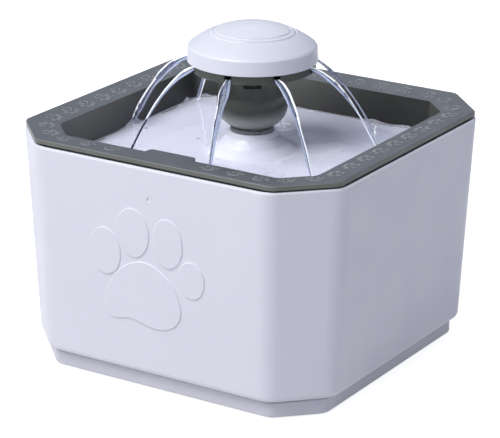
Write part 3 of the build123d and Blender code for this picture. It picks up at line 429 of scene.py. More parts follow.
# painted highlight: white water that glows a little, for the white strands and the drops
glowing_highlight_water = water("glowing_highlight_water", (0.97, 0.98, 1.0), 0.12, 0.1, 700, 0.1)
glowing_highlight_water.set(Emission_Color=(0.95, 0.97, 1.0, 1.0), Emission_Strength=0.25)
glowing_highlight_water = glowing_highlight_water.material

FINISH = {
    "tank": white_plastic("tank_white", WHITE, 0.42),
    "base_plinth": white_plastic("plinth_white", scaled(WHITE, 0.87), 0.42),
    # the cap's top in painted shade
    "cap": white_plastic("cap_white", (0.92, 0.92, 1.0), 0.45, top=0.83),
    "drip_tray": white_plastic("tray_white", (0.85, 0.86, 0.93), 0.45),
    "rim_frame": rim_grey,
    "column": head_grey,
    "spray_disc": disc_grey,
    "spout_gasket": gasket_rubber,
    "cable_grommet": gasket_rubber,
    "front_bush": gasket_rubber,
    "rear_bush": gasket_rubber,
    "rubber_feet": rubber("foot_rubber", (0.1, 0.1, 0.1), 0.62),
    "suction_cups": rubber("cup_rubber", (0.28, 0.3, 0.31), 0.35),
    "pump_lead": rubber("lead_rubber", (0.025, 0.025, 0.027), 0.5),
    "riser_tube": rubber("silicone", (0.66, 0.69, 0.72), 0.25),
    "pump_body": pump_black,
    "impeller_cover": pump_black,
    "pump_strainer": pump_black,
    "stator_core": metal("core_steel", (0.45, 0.45, 0.47), 0.4, (60, 2000, 60)),
    "stator_coil": metal("coil_copper", (0.6, 0.27, 0.1), 0.3, (2600, 60, 60)),
}
# other moulded or cast nodes: material, colour, what it drifts to, roughness, grain and its depth
MOULDED = {
    "impeller": ("impeller_white", (0.72, 0.73, 0.75), (0.66, 0.67, 0.69), 0.3, 1500, 0.01),
    "flow_slider": ("slider_grey", (0.45, 0.47, 0.49), (0.4, 0.42, 0.44), 0.35, 1500, 0.01),
    "filter_holder": ("holder_white", (0.6, 0.62, 0.66), (0.55, 0.57, 0.6), 0.45, 900, 0.02),
    "pump_potting": ("epoxy_black", (0.015, 0.015, 0.017), (0.02, 0.02, 0.023), 0.12, 300, 0.06),
    "rotor_magnet": ("ferrite", (0.055, 0.055, 0.06), (0.035, 0.035, 0.04), 0.5, 1200, 0.04),
    "impeller_shaft": ("ceramic", (0.82, 0.81, 0.77), (0.76, 0.75, 0.71), 0.15, 600, 0.004),
}
for node_name, values in MOULDED.items():
    FINISH[node_name] = moulded(*values).material
for node_name, finish in FINISH.items():
    for part_slot in nodes[node_name].material_slots:
        part_slot.material = finish


# ---- meshes ------------------------------------------------------------------------------------
def add_piece(name, points, faces, material, body):
    """A closed, smooth mesh piece that rides on a body."""
    mesh = bpy.data.meshes.new(name)
    mesh.from_pydata([tuple(p) for p in points], [], faces)
    mesh.validate()
    # every piece is closed, so its faces can all be turned outward
    shape = bmesh.new()
    shape.from_mesh(mesh)
    bmesh.ops.recalc_face_normals(shape, faces=shape.faces)
    shape.to_mesh(mesh)
    shape.free()
    mesh.polygons.foreach_set("use_smooth", [True] * len(mesh.polygons))
    mesh.materials.append(material)
    piece = bpy.data.objects.new(name, mesh)
    bpy.context.scene.collection.objects.link(piece)
    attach(piece, body)
    return piece


def grid_faces(rows, columns, start=0, flip=False):
    """Quads between rows of points, each row joined end to end."""
    faces = []
    for r in range(rows - 1):
        for c in range(columns):
            n = (c + 1) % columns
            quad = [start + r * columns + c, start + r * columns + n]
            quad += [start + (r + 1) * columns + n, start + (r + 1) * columns + c]
            faces.append(tuple(reversed(quad)) if flip else tuple(quad))
    return faces


def tube_faces(rows, columns, start=0, flip=False):
    """A grid of rows with a face over its first row and one over its last."""
    last = start + (rows - 1) * columns
    ends = [tuple(reversed(range(start, start + columns))), tuple(range(last, last + columns))]
    if flip:
        ends = [end[::-1] for end in ends]
    return grid_faces(rows, columns, start, flip) + ends


def ring_faces(rows, columns):
    """A flat ring: an upper grid, a lower one after it, and what joins their edges."""
    count = rows * columns
    faces = grid_faces(rows, columns) + grid_faces(rows, columns, count, flip=True)
    outer = count - columns
    for c in range(columns):
        n = (c + 1) % columns
        faces.append((outer + c, outer + n, count + outer + n, count + outer + c)[::-1])
        faces.append((c, n, count + n, count + c))
    return faces


def cut_square_radius(angle, half, leg):
    """Distance from the middle to a square with cut corners that are rounded a little."""
    flat = half / max(abs(math.cos(angle)), abs(math.sin(angle)))
    cut = (2 * half - leg) / (abs(math.cos(angle)) + abs(math.sin(angle)))
    soft = max(0.0, 1 - abs(flat - cut) / CORNER_SOFT)
    return min(flat, cut) - 0.25 * CORNER_SOFT * soft * soft


def eased(share):
    """0 to 1 with a gentle start and end."""
    return share * share * (3 - 2 * share)


def solid_tree(node_name):
    """A node's solid, ready for rays that look for its surface."""
    mesh = nodes[node_name].data
    return BVHTree.FromPolygons([v.co for v in mesh.vertices], [p.vertices for p in mesh.polygons])


# ---- paths of the streams ----------------------------------------------------------------------
FIRST_OUTLET = 9.6               # degrees
STREAM_START = DISC_R - 1.1 * MM
# One stream per outlet, counted from the first:
#   below         how far under the outlet's top it leaves (mm)
#   slope, curve  how steeply it leaves, and how it bends down
#   aside         how far it has drifted sideways where it lands (mm)
#   end           its half width there (mm)
#   white_side    which of its two strands is the white one, a painted highlight
#   white         that strand's width, as a share
#   turned        radians that the sheet is turned about its path
#   dark_from     where along it the strands draw into one thread of painted dark refraction, as a share
Stream = namedtuple("Stream", "below slope curve aside end white_side white turned dark_from")
STREAMS = (
    Stream(1.3, 0.174, 0.0238, 1.8, 1.0, 1, 1.0, 0.0, 2.0),
    Stream(1.3, 0.53, 0.0176, 0.0, 0.7, 1, 0.5, 0.0, 2.0),
    Stream(1.3, 1.2, 0.285, 0.0, 0.5, -1, 0.6, 0.0, 2.0),
    Stream(1.3, 0.25, 0.0095, -4.5, 1.0, -1, 0.9, 0.0, 2.0),
    Stream(1.3, 0.222, 0.0193, -14.1, 1.5, -1, 1.0, 0.95, 2.0),
    Stream(1.3, 0.23, 0.0279, -2.2, 0.5, -1, 1.2, 0.0, 0.6),
    Stream(3.0, 0.70, 0.0230, 2.4, 0.8, -1, 0.5, 0.0, 2.0),
    Stream(2.8, 0.0, 0.0299, 3.9, 0.6, 1, 1.0, 0.0, 2.0),
)


def stream_angle(i):
    """Where round the head a stream leaves, in radians."""
    return math.radians(FIRST_OUTLET + 360 / len(STREAMS) * i)


def stream_reach(i):
    """How far out from its outlet a stream lands, in mm."""
    slope, curve = STREAMS[i].slope, STREAMS[i].curve
    drop = (OUTLET_TOP - WATER_LEVEL) / MM - STREAMS[i].below
    return (-slope + math.sqrt(slope * slope + 4 * curve * drop)) / (2 * curve)


def stream_place(i, travelled):
    """The middle of a stream once it is this far out from its outlet (mm)."""
    stream, angle = STREAMS[i], stream_angle(i)
    out = Vector((math.cos(angle), math.sin(angle), 0))
    side = Vector((-out.y, out.x, 0))
    drop = stream.below + stream.slope * travelled + stream.curve * travelled ** 2
    drift = stream.aside * (travelled / stream_reach(i)) ** 1.5
    from_axis = out * (STREAM_START + travelled * MM) + side * drift * MM
    return from_axis + Vector((0, 0, OUTLET_TOP - drop * MM))


LANDINGS = [stream_place(i, stream_reach(i)).xy for i in range(len(STREAMS))]

# ---- water in the well -------------------------------------------------------------------------
SWELLS = ((0.2, 60, 3.1), (0.08, 170, 7.7))       # height (mm), waves per metre, seed
RING_HIGH, RING_PITCH, RING_FADE = 0.3, 6.2, 7.0  # rings round each landing (mm)
CHURN_HIGH, CHURN_REACH = 1.3, 3.5                # rough water at each landing (mm)
CHURN_SCALE, CHURN_SEED = 420, 1.3
# places on the wall where the water climbs: x, y, height, and its tails to -Y and +Y (mm)
WALL_SPLASHES = (
    (-75.2, 4.0, 3.3, 9.0, 2.6),
    (-75.2, 53.0, 1.9, 2.6, 2.0),
    (-71.5, 65.0, 1.7, 2.5, 2.0),
    (29.0, 75.2, 1.2, 4.0, 4.0),
    (49.0, 75.2, 0.9, 5.0, 3.0),
)
SPLASH_THIN = 1.6 * MM           # how far from the wall a splash falls off
SPLASH_UNEVEN, SPLASH_SCALE, SPLASH_SEED = 0.35, 500, 4.2
MENISCUS, MENISCUS_WIDE = 0.12 * MM, 0.8 * MM
WALL_GAP = 0.15 * MM
FILM = 0.23                      # depth over the mound (mm)
FILM_SUNK = 0.05                 # how far under the tray's surface the film starts (mm)
FILM_RIPPLE = 0.1                # how much of the water's ripple the film shows
FILM_RISE = 6 * MM               # how far out from the shore it has its depth
UNDER_TRAY = 0.25 * MM           # the underside lies just inside the tray, so that no gap shows
WATER_COLUMNS, WATER_ROWS = 420, 110

tray_tree = solid_tree("drip_tray")


def ripple(x, y):
    """Height of the water's surface above its level."""
    height = 0.0
    for high, scale, seed in SWELLS:
        height += high * MM * noise.noise(Vector((x * scale, y * scale, seed)))
    lively = noise.noise(Vector((x * CHURN_SCALE, y * CHURN_SCALE, CHURN_SEED)))
    for landing in LANDINGS:
        away = math.hypot(x - landing.x, y - landing.y) / MM
        height += RING_HIGH * MM * math.cos(away * TAU / RING_PITCH) * math.exp(-away / RING_FADE)
        height += CHURN_HIGH * MM * max(0.0, lively + 0.15) * math.exp(-(away / CHURN_REACH) ** 2)
    return height


def tray_height(x, y):
    """Top of the tray, boss included, under a place in the well."""
    hit = tray_tree.ray_cast(Vector((x, y, LID_TOP)), DOWN)[0]
    return max(hit.z, TRAY_TOP) if hit else TRAY_TOP


def splash(x, y, edge_gap):
    """How far the water climbs the wall where the streams reach it."""
    climb = 0.0
    for wall_x, wall_y, high, before, after in WALL_SPLASHES:
        ahead = y / MM - wall_y
        along = max(abs(ahead), abs(x / MM - wall_x))
        tail = before if ahead < 0 else after
        climb = max(climb, high * MM * math.exp(-(along / tail) ** 2))
    uneven = noise.noise(Vector((x * SPLASH_SCALE, y * SPLASH_SCALE, SPLASH_SEED)))
    climb *= 1 + SPLASH_UNEVEN * uneven
    return climb * math.exp(-edge_gap / SPLASH_THIN)


def soft_max(first, second, blend=0.25 * MM):
    """The larger of two heights, with the step between them rounded."""
    gap = max(blend - abs(first - second), 0.0) / blend
    return max(first, second) + gap * gap * blend / 4


def make_water():
    """The pool in the well, from the wall in to the top of the mound, where it is a film."""
    top, bottom = [], []
    for r in range(WATER_ROWS):
        share = r / (WATER_ROWS - 1)
        for c in range(WATER_COLUMNS):
            angle = TAU * c / WATER_COLUMNS
            edge = cut_square_radius(angle, WELL_HALF - WALL_GAP, WELL_LEG)
            radius = SHORE + (edge - SHORE) * share
            x, y = radius * math.cos(angle), radius * math.sin(angle)
            level = WATER_LEVEL + ripple(x, y) + splash(x, y, edge - radius)
            level += MENISCUS * math.exp(-(edge - radius) / MENISCUS_WIDE)
            floor = tray_height(x, y)
            # the film thins out to nothing at the shore
            taper = min(1.0, (radius - SHORE) / FILM_RISE)
            film = (FILM * eased(taper) - FILM_SUNK) * MM + FILM_RIPPLE * taper * ripple(x, y)
            top.append((x, y, soft_max(level, floor + film)))
            bottom.append((x, y, floor - UNDER_TRAY))
    faces = ring_faces(WATER_ROWS, WATER_COLUMNS)
    add_piece("well_water", top + bottom, faces, still_water, "tray")


# ---- streams -----------------------------------------------------------------------------------
STREAM_ROWS, STREAM_COLUMNS = 80, 28
ROW_CROWD = 1.25                 # above 1, the rows lie closer together towards the landing
STRAND_END, STRAND_MORE = 0.4, 0.2   # a strand's half width at its end, and more at its start (mm)
STRAND_UNEVEN = 0.25
PULSE, PULSE_PACE, PULSE_UNEVEN = 0.1, 15, 0.14   # how the stream's width swells along it
SWING, SWING_GROWS = 0.5, 1.6    # how far the sheet turns on its way (radians)
SWAY, SWAY_PACE = 0.2, 7         # and to and fro
WANDER = 0.35                    # how far the stream strays sideways (mm)
SHEET_THIN = 0.12 * MM           # half the thickness of the sheet between the strands
LEAST_SHEET = 0.12               # the sheet's least width, as a share
THREAD_WHITE = 0.5               # on a thread of painted dark refraction, where across it the painted highlight starts
WHITE_LASTS = 0.22               # and for how much of the stream's length
DARK_BAND = 0.3                  # width of the painted dark refraction beside the painted highlight strand
# the stream's waters: plain, a sheet of painted blue refraction, painted dark refraction and a
# painted highlight
RUNNING, SHEET, PAINTED_DARK, PAINTED_HIGHLIGHT = range(4)


def spread(share, end):
    """Half width of a stream's sheet, in mm: it opens out past the slot, then draws together."""
    stops = ((0.0, 1.6), (0.14, 2.3), (0.4, 1.0 + end), (0.62, 0.4 + end), (1.0, end))
    for (s0, w0), (s1, w1) in zip(stops, stops[1:]):
        if share <= s1:
            return w0 + (w1 - w0) * eased((share - s0) / (s1 - s0))
    return end


def strand_profile(x, core, strand):
    """Half thickness across a stream, for x from -1 to 1: round strands at the edges of a sheet."""
    bead = 0.0
    if abs(x) > core * 0.7:
        bead = math.sqrt(max(0.0, 1 - ((abs(x) - core) / max(1 - core, 0.05)) ** 2))
    return max(strand * bead, SHEET_THIN * (1 - abs(x) ** 6))


def paint_stream(mesh, stream, strand_edges):
    """Gives each face of a stream its kind of water: a painted highlight, painted dark refraction,
    a sheet of painted blue refraction or plain running water; strand_edges says where the strands
    start.
    """
    for face in mesh.polygons:
        if len(face.vertices) != 4:
            continue
        row = min(v // STREAM_COLUMNS for v in face.vertices)
        turns = (TAU * (v % STREAM_COLUMNS) / STREAM_COLUMNS for v in face.vertices)
        across = stream.white_side * sum(math.cos(turn) for turn in turns) / 4
        edge = strand_edges[row]
        white_edge = 1 - (1 - edge) * stream.white
        thread = row > stream.dark_from * STREAM_ROWS
        lit = row < (stream.dark_from + WHITE_LASTS) * STREAM_ROWS
        if across > (THREAD_WHITE if thread else white_edge) and lit:
            face.material_index = PAINTED_HIGHLIGHT
        elif thread or across > white_edge - DARK_BAND:
            face.material_index = PAINTED_DARK
        elif across > -edge:
            face.material_index = SHEET


def make_stream(i):
    """A stream from a slot: a white strand of painted highlight and a clear one with a sheet of
    painted blue refraction between them.
    """
    stream = STREAMS[i]
    angle = stream_angle(i)
    side = Vector((-math.sin(angle), math.cos(angle), 0))
    dice = random.Random(40 + i)
    phase, swing = dice.uniform(0, TAU), dice.uniform(-SWING, SWING)
    reach = stream_reach(i)

    def uneven(share, pace, lane, seed):
        """Noise along the stream: pace is how fast it changes, lane and seed set it apart."""
        return noise.noise(Vector((share * pace, i * lane, seed)))

    points, strand_edges = [], []
    for r in range(STREAM_ROWS):
        share = r / (STREAM_ROWS - 1)
        travelled = reach * (1 - (1 - share) ** ROW_CROWD)
        centre = stream_place(i, travelled)
        along = (stream_place(i, travelled + 0.1) - centre).normalized()
        face = side.cross(along).normalized()
        level = along.cross(face)
        pulse = 1 + PULSE * math.sin(share * PULSE_PACE + phase)
        pulse += PULSE_UNEVEN * uneven(share, 8, 3.3, 0)
        half = spread(share, stream.end) * MM * pulse
        strand = (STRAND_END + STRAND_MORE * (1 - share)) * MM
        strand *= 1 + STRAND_UNEVEN * uneven(share, 16, 5.1, 2)
        turn = stream.turned * min(1.0, share * 4)
        turn += swing * share * SWING_GROWS + SWAY * math.sin(share * SWAY_PACE + phase)
        across = level * math.cos(turn) + face * math.sin(turn)
        through = face * math.cos(turn) - level * math.sin(turn)
        wander = WANDER * MM * share * uneven(share, 6, 7.7, 5)
        # the strands are round however wide the sheet between them is
        core = max(0.0, 1 - strand / half)
        strand_edges.append(max(LEAST_SHEET, 2 * core - 1))
        for c in range(STREAM_COLUMNS):
            around = TAU * c / STREAM_COLUMNS
            x = math.cos(around)
            upper = 1 if math.sin(around) >= 0 else -1
            thick = strand_profile(x, core, strand) * upper * min(1.0, abs(math.sin(around)) * 6)
            points.append(centre + across * (half * x + wander) + through * thick)
    faces = tube_faces(STREAM_ROWS, STREAM_COLUMNS)
    piece = add_piece(f"water_stream_{i + 1}", points, faces, running_water, "tray")
    for finish in (sheet_water, painted_dark_water, glowing_highlight_water):
        piece.data.materials.append(finish)
    paint_stream(piece.data, stream, strand_edges)
    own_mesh(piece)


# ---- drops -------------------------------------------------------------------------------------
DROPS_EACH = 6                   # tried at each landing
DROP_SIZE = (0.25, 0.6)          # radius (mm)
DROP_SPREAD = 3.2                # how far from the landing (mm)
DROP_HIGH = 3.0                  # how far up (mm)
DROP_LONG = 1.15                 # length over width
DROP_CLEAR = 1.2 * MM            # from the wall
DROP_RINGS, DROP_AROUND = 7, 10


def make_drops():
    """Small drops and beads thrown up where the streams land, joined into one piece."""
    dice = random.Random(11)
    points, faces = [], []
    for landing in LANDINGS:
        for _ in range(DROPS_EACH):
            size = dice.uniform(*DROP_SIZE) * MM
            away, turn = abs(dice.gauss(0, DROP_SPREAD)) * MM, dice.uniform(0, TAU)
            x, y = landing.x + away * math.cos(turn), landing.y + away * math.sin(turn)
            wall = cut_square_radius(math.atan2(y, x), WELL_HALF - DROP_CLEAR, WELL_LEG)
            if math.hypot(x, y) > wall:
                continue
            z = WATER_LEVEL + ripple(x, y) + dice.uniform(0.0, 1.0) ** 2 * DROP_HIGH * MM
            start = len(points)
            for r in range(DROP_RINGS):
                tilt = math.pi * (r + 0.5) / DROP_RINGS
                for c in range(DROP_AROUND):
                    spin = TAU * c / DROP_AROUND
                    points.append((
                        x + size * math.sin(tilt) * math.cos(spin),
                        y + size * math.sin(tilt) * math.sin(spin),
                        z + size * DROP_LONG * math.cos(tilt),
                    ))
            faces += tube_faces(DROP_RINGS, DROP_AROUND, start, flip=True)
    # the drops glow a little: a painted highlight
    piece = add_piece("splash_drops", points, faces, glowing_highlight_water, "tray")
    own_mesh(piece)


# ---- fine relief on the rim --------------------------------------------------------------------
RELIEF_HALF = 84.0 * MM          # middle of the rim's flat
RELIEF_LEG = 19.4 * MM
RELIEF_PITCH = 15.0 * MM
RELIEF_HIGH = 0.35 * MM
RIDGE_PROFILE = ((-1.0, -0.25), (-0.5, 0.8), (0.5, 0.8), (1.0, -0.25))
LEAN = 0.35                      # how far a print is turned either way (radians)
TAB = (-19 * MM, 18 * MM)        # no prints on the finger tab, which spans this along X
FRONT = -70 * MM

# A print is closed outlines: a pad with rounded corners and four toes. Where each lies in the
# print, its half length and width and its lobes, all in the print's own unit; its ridge is in mm.
PRINT_UNIT = 1.55 * MM
Outline = namedtuple("Outline", "forward sideways long wide lobes steps ridge")
PRINT = (
    Outline(-1.1, 0.0, 1.25, 1.6, 0.16, 16, 0.5),
    Outline(0.9, 2.35, 0.72, 0.5, 0.0, 10, 0.42),
    Outline(2.2, 0.9, 0.72, 0.5, 0.0, 10, 0.42),
    Outline(2.2, -0.9, 0.72, 0.5, 0.0, 10, 0.42),
    Outline(0.9, -2.35, 0.72, 0.5, 0.0, 10, 0.42),
)

rim_tree = solid_tree("rim_frame")


def relief_places():
    """Places and headings of the prints: one row round the rim, with the toes towards the well."""
    inner = RELIEF_HALF - RELIEF_LEG
    corners = [
        (RELIEF_HALF, -inner), (RELIEF_HALF, inner), (inner, RELIEF_HALF), (-inner, RELIEF_HALF),
    ]
    corners += [(-x, -y) for x, y in corners]
    for a, b in zip(corners, corners[1:] + corners[:1]):
        a, b = Vector(a), Vector(b)
        run = b - a
        count = max(1, round(run.length / RELIEF_PITCH))
        for k in range(count):
            yield a + run * ((k + 0.5) / count), math.atan2(run.x, -run.y)


def on_rim(x, y):
    """Height of the rim's surface."""
    return rim_tree.ray_cast(Vector((x, y, LID_TOP + 10 * MM)), DOWN)[0].z


def outline_path(outline, place, lean):
    """The outline's points on the rim, for a print at this place that leans this way."""
    ahead = Vector((math.cos(lean), math.sin(lean)))
    left = Vector((-ahead.y, ahead.x))
    for k in range(outline.steps + 1):
        turn = TAU * k / outline.steps
        reach = 1 + outline.lobes * math.cos(3 * turn)
        along = outline.forward + outline.long * reach * math.cos(turn)
        aside = outline.sideways + outline.wide * reach * math.sin(turn)
        spot = place + (ahead * along + left * aside) * PRINT_UNIT
        yield spot.x, spot.y


def add_ridge(points, faces, path, wide):
    """A low rounded ridge that follows a path on the rim and thins out at its ends."""
    start = len(points)
    for k, (x, y) in enumerate(path):
        ahead = path[min(k + 1, len(path) - 1)]
        behind = path[max(k - 1, 0)]
        heading = math.atan2(ahead[1] - behind[1], ahead[0] - behind[0])
        ends = min(1.0, 0.35 + min(k, len(path) - 1 - k) * 0.4)
        for across, up in RIDGE_PROFILE:
            px = x - math.sin(heading) * across * wide * ends / 2
            py = y + math.cos(heading) * across * wide * ends / 2
            points.append((px, py, on_rim(px, py) + up * RELIEF_HIGH * ends))
    faces += tube_faces(len(path), len(RIDGE_PROFILE), start, flip=True)


def make_relief():
    """A row of paw prints round the rim, as raised outlines."""
    points, faces = [], []
    dice = random.Random(5)
    for place, heading in relief_places():
        lean = heading + dice.uniform(-LEAN, LEAN)
        if place.y < FRONT and TAB[0] < place.x < TAB[1]:
            continue
        for outline in PRINT:
            path = list(outline_path(outline, place, lean))
            add_ridge(points, faces, path, outline.ridge * MM)
    # the ridges carry a painted highlight
    piece = add_piece("rim_relief", points, faces, relief_grey_painted_highlight, "lid")


# ---- soft parts of the filter ------------------------------------------------------------------
POUCH_HOLE = 12.6 * MM
BED_HOLE = POUCH_HOLE + 3 * MM
PAD_COLUMNS, PAD_ROWS = 240, 48
PAD_CLEAR = 0.3 * MM             # inside the solid's side, and the next one inside its faces
PAD_SKIN = 0.1 * MM
LUMP_SCALE = 60                  # per metre
PAD_EDGE = 0.08                  # a pad's height at its edge, as a share of the crown's
SEAM_PACE = 50                   # the quilting's seams: radians per metre, depth and width
SEAM_DEEP, SEAM_WIDE = 0.22, 0.12


def make_pad(name, node, material, slot_name, hole, leg, bulge, lumps, quilted=False):
    """A filled square pad with a round hole: crowned faces that meet at a thin edge."""
    low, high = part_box(node)
    half, middle = high.x - PAD_CLEAR, (low.z + high.z) / 2
    tall = (high.z - low.z) / 2 - PAD_SKIN
    points = []
    for side in (1, -1):
        for r in range(PAD_ROWS):
            share = r / (PAD_ROWS - 1)
            for c in range(PAD_COLUMNS):
                angle = TAU * c / PAD_COLUMNS
                edge = cut_square_radius(angle, half, leg)
                radius = hole + (edge - hole) * share
                x, y = radius * math.cos(angle), radius * math.sin(angle)
                rim = min(radius - hole, edge - radius) / bulge
                crown = math.sqrt(max(0.0, 1 - (1 - min(1.0, rim)) ** 2))
                lump = noise.noise(Vector((x * LUMP_SCALE, y * LUMP_SCALE, side * 4.0)))
                uneven = 1 - lumps * (0.5 + 0.5 * lump)
                height = tall * (PAD_EDGE + (1 - PAD_EDGE) * crown) * uneven
                if quilted:
                    seam = min(abs(math.sin(x * SEAM_PACE)), abs(math.sin(y * SEAM_PACE)))
                    sewn = math.exp(-(seam / SEAM_WIDE) ** 2)
                    height *= 1 - SEAM_DEEP * sewn * min(1.0, rim)
                points.append((x, y, middle + side * height))
    piece = add_piece(name, points, ring_faces(PAD_ROWS, PAD_COLUMNS), material, "holder")
    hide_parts(node)
    return piece


FOAM_STEPS = 44                  # faces along each side of the sponge
FOAM_CLEAR = 0.3                 # how far inside the solid the sponge's skin lies (mm)
FOAM_SOFT = 0.9                  # below 1, the grid crowds towards the block's edges
EDGE_NEAR, EDGE_IN = 0.93, 0.012 # from here on out edges and corners are drawn in this much
PORE_SCALE = 900                 # per metre
PORE_DEEP = 0.7 * MM
PORE_LEAST = 0.05                # noise below this makes no pore


def foam_point(centre, size, local):
    """A point of the sponge's skin; local runs from -1 to 1 along each side."""
    soft = Vector([math.copysign(abs(v) ** FOAM_SOFT, v) for v in local])
    place = Vector([soft[a] * size[a] for a in range(3)])
    near_sides = sum(abs(v) > EDGE_NEAR for v in local)
    place *= 1 - EDGE_IN * max(0, near_sides - 1)
    pore = max(0.0, noise.noise(place * PORE_SCALE) - PORE_LEAST)
    outward = Vector([math.copysign(1, v) if abs(v) > 0.999 else 0 for v in local])
    return centre + place - outward.normalized() * pore * PORE_DEEP


def make_foam():
    """The sponge: a soft-edged block with open pores all over."""
    low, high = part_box("foam_prefilter")
    centre = (low + high) / 2
    size = (high - low) / 2 - Vector([FOAM_CLEAR] * 3) * MM
    points, index, faces = [], {}, []

    def corner(*key):
        """The number of the point at these steps, made when it is first asked for."""
        if key not in index:
            index[key] = len(points)
            local = Vector([2 * step / FOAM_STEPS - 1 for step in key])
            points.append(foam_point(centre, size, local))
        return index[key]

    for axis in range(3):
        for end in (0, FOAM_STEPS):
            for a in range(FOAM_STEPS):
                for b in range(FOAM_STEPS):
                    quad = []
                    for u, v in ((a, b), (a + 1, b), (a + 1, b + 1), (a, b + 1)):
                        steps = [u, v]
                        steps.insert(axis, end)
                        quad.append(corner(*steps))
                    outward_turn = (end == 0) == (axis != 1)
                    faces.append(tuple(reversed(quad)) if outward_turn else tuple(quad))
    piece = add_piece("foam_sponge", points, faces, foam_black, "strainer")
    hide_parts("foam_prefilter")


# ---- floor, light and camera -------------------------------------------------------------------
AIM = Vector((0, 0, 0.085))
FLOOR_REACH = 4.0
FLOOR_GLOW = 0.85                # makes the lit floor white, for rays that show it
FILL = 0.3                       # light from all round
SKY = 0.05                       # more from above
FLAT_TURN = math.radians(122.0)
FLATS = 4.0
FLAT_TONES = (0.08, 1.0)         # between the flats, and on them
LAMPS = (                        # name, place, size, power, colour
    ("key", (-0.36, -0.95, 1.5), 1.3, 25.2, (1, 1, 1)),
    ("back_light", (-0.5, 1.2, 1.15), 0.9, 2.6, (0.9, 0.95, 1.0)),
)
CAMERA_TURN, CAMERA_PITCH, CAMERA_ROLL = 32.117, 19.366, 0.346   # degrees
CAMERA_PLACE = Vector((0.66138, -1.05513, LID_TOP + 0.38110))
CAMERA_LENS, CAMERA_SENSOR = 182.8, 36.0


def first_sight(tree, rays, seen):
    """The rays named, but not once they have met a matt surface, which the lamps alone light."""
    fresh = tree.math("SUBTRACT", 1.0, tree.math("MINIMUM", rays["Diffuse Depth"], 1.0))
    return tree.math("MULTIPLY", seen, fresh)


def make_floor():
    """A pale floor that looks white where it is lit, and keeps the object's shadow."""
    s = Surface("pale_floor")
    s.set(Roughness=0.9)
    s.colour(s.blend(s.noise(6, 3), (0.62, 0.62, 0.63), (0.6, 0.6, 0.61)))
    glow = s.node("ShaderNodeEmission")
    glow.inputs["Strength"].default_value = FLOOR_GLOW
    lifted = s.node("ShaderNodeAddShader")
    s.link(s.shader.outputs[0], lifted.inputs[0])
    s.link(glow.outputs[0], lifted.inputs[1])
    rays = s.node("ShaderNodeLightPath").outputs
    seen = s.math("MAXIMUM", rays["Is Camera Ray"], rays["Is Glossy Ray"])
    seen = s.math("MAXIMUM", seen, rays["Is Transmission Ray"])
    shown = s.choose(first_sight(s, rays, seen), s.shader.outputs[0], lifted.outputs[0])
    s.link(shown, s.output.inputs["Surface"])
    mesh = bpy.data.meshes.new("floor")
    corners = ((-1, -1, 0), (1, -1, 0), (1, 1, 0), (-1, 1, 0))
    mesh.from_pydata([Vector(corner) * FLOOR_REACH for corner in corners], [], [(0, 1, 2, 3)])
    mesh.materials.append(s.material)
    floor = bpy.data.objects.new("floor", mesh)
    bpy.context.scene.collection.objects.link(floor)


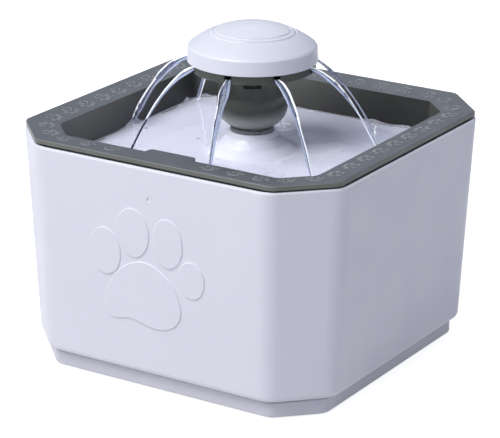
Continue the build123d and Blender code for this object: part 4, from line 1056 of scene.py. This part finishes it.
def make_world():
    """An even fill for the object, and a white studio for the camera and for what clear water
    shows."""
    world = bpy.data.worlds.new("studio")
    bpy.context.scene.world = world
    world.use_nodes = True
    w = Tree(world.node_tree)
    w.tree.nodes.clear()

    def background(strength, colour=(1.0, 1.0, 1.0)):
        made = w.node("ShaderNodeBackground")
        made.inputs["Color"].default_value = (*colour, 1.0)
        if isinstance(strength, float):
            made.inputs["Strength"].default_value = strength
        else:
            w.link(strength, made.inputs["Strength"])
        return made.outputs[0]

    # white flats stand round the object with dark gaps between them, which give clear water edges
    direction = w.split(w.node("ShaderNodeTexCoord").outputs["Generated"])
    azimuth = w.math("ARCTAN2", direction["Y"], direction["X"])
    lobes = w.math("COSINE", w.math("MULTIPLY", w.math("SUBTRACT", azimuth, FLAT_TURN), FLATS))
    flats = w.remap(lobes, -0.7, 0.5, *FLAT_TONES)

    rays = w.node("ShaderNodeLightPath").outputs
    through = first_sight(w, rays, rays["Is Transmission Ray"])
    overhead = w.math("MAXIMUM", direction["Z"], 0.0)
    fill = w.math("ADD", w.math("MULTIPLY", overhead, SKY), FILL)
    lit = w.choose(through, background(fill, (0.84, 0.92, 1.12)), background(flats))
    shown = w.choose(rays["Is Camera Ray"], lit, background(1.0))
    w.link(shown, w.node("ShaderNodeOutputWorld").inputs["Surface"])


def add_softbox(name, place, size, power, colour):
    """A round lamp that faces the object."""
    light = bpy.data.lights.new(name, "AREA")
    light.shape = "DISK"
    light.size = size
    light.energy = power
    light.color = colour
    lamp = bpy.data.objects.new(name, light)
    lamp.location = place
    lamp.rotation_euler = (AIM - Vector(place)).to_track_quat("-Z", "Y").to_euler()
    bpy.context.scene.collection.objects.link(lamp)


def make_camera():
    """A long lens from the front right, a little above the object."""
    turn, pitch, roll = map(math.radians, (CAMERA_TURN, CAMERA_PITCH, CAMERA_ROLL))
    level = Vector((math.cos(turn), math.sin(turn), 0))
    back = Vector((
        math.sin(turn) * math.cos(pitch), -math.cos(turn) * math.cos(pitch), math.sin(pitch),
    ))
    upright = back.cross(level)
    right = level * math.cos(roll) + upright * math.sin(roll)
    up = upright * math.cos(roll) - level * math.sin(roll)
    camera = bpy.data.objects.new("camera", bpy.data.cameras.new("camera"))
    camera.data.sensor_width = CAMERA_SENSOR
    camera.data.lens = CAMERA_LENS
    camera.data.clip_start, camera.data.clip_end = 0.05, 30.0
    turned = Matrix((right, up, back)).transposed().to_4x4()
    turned.translation = CAMERA_PLACE
    camera.matrix_world = turned
    bpy.context.scene.collection.objects.link(camera)
    bpy.context.scene.camera = camera


# ---- the scene ---------------------------------------------------------------------------------
make_water()
for stream_number in range(len(STREAMS)):
    make_stream(stream_number)
make_drops()
make_relief()
pouch = make_pad(
    "filter_cloth_pouch", "filter_pouch", pouch_white, "pouch_cloth",
    hole=POUCH_HOLE, leg=10 * MM, bulge=9 * MM, lumps=0.05, quilted=True,
)
for bed in (
    ("carbon_granules", "carbon_bed", carbon, "carbon"),
    ("resin_beads", "resin_bed", resin, "resin"),
):
    make_pad(*bed, hole=BED_HOLE, leg=9 * MM, bulge=6 * MM, lumps=0.12)
make_foam()

make_floor()
make_world()
for softbox in LAMPS:
    add_softbox(*softbox)
make_camera()
bpy.context.scene.view_settings.view_transform = "Standard"
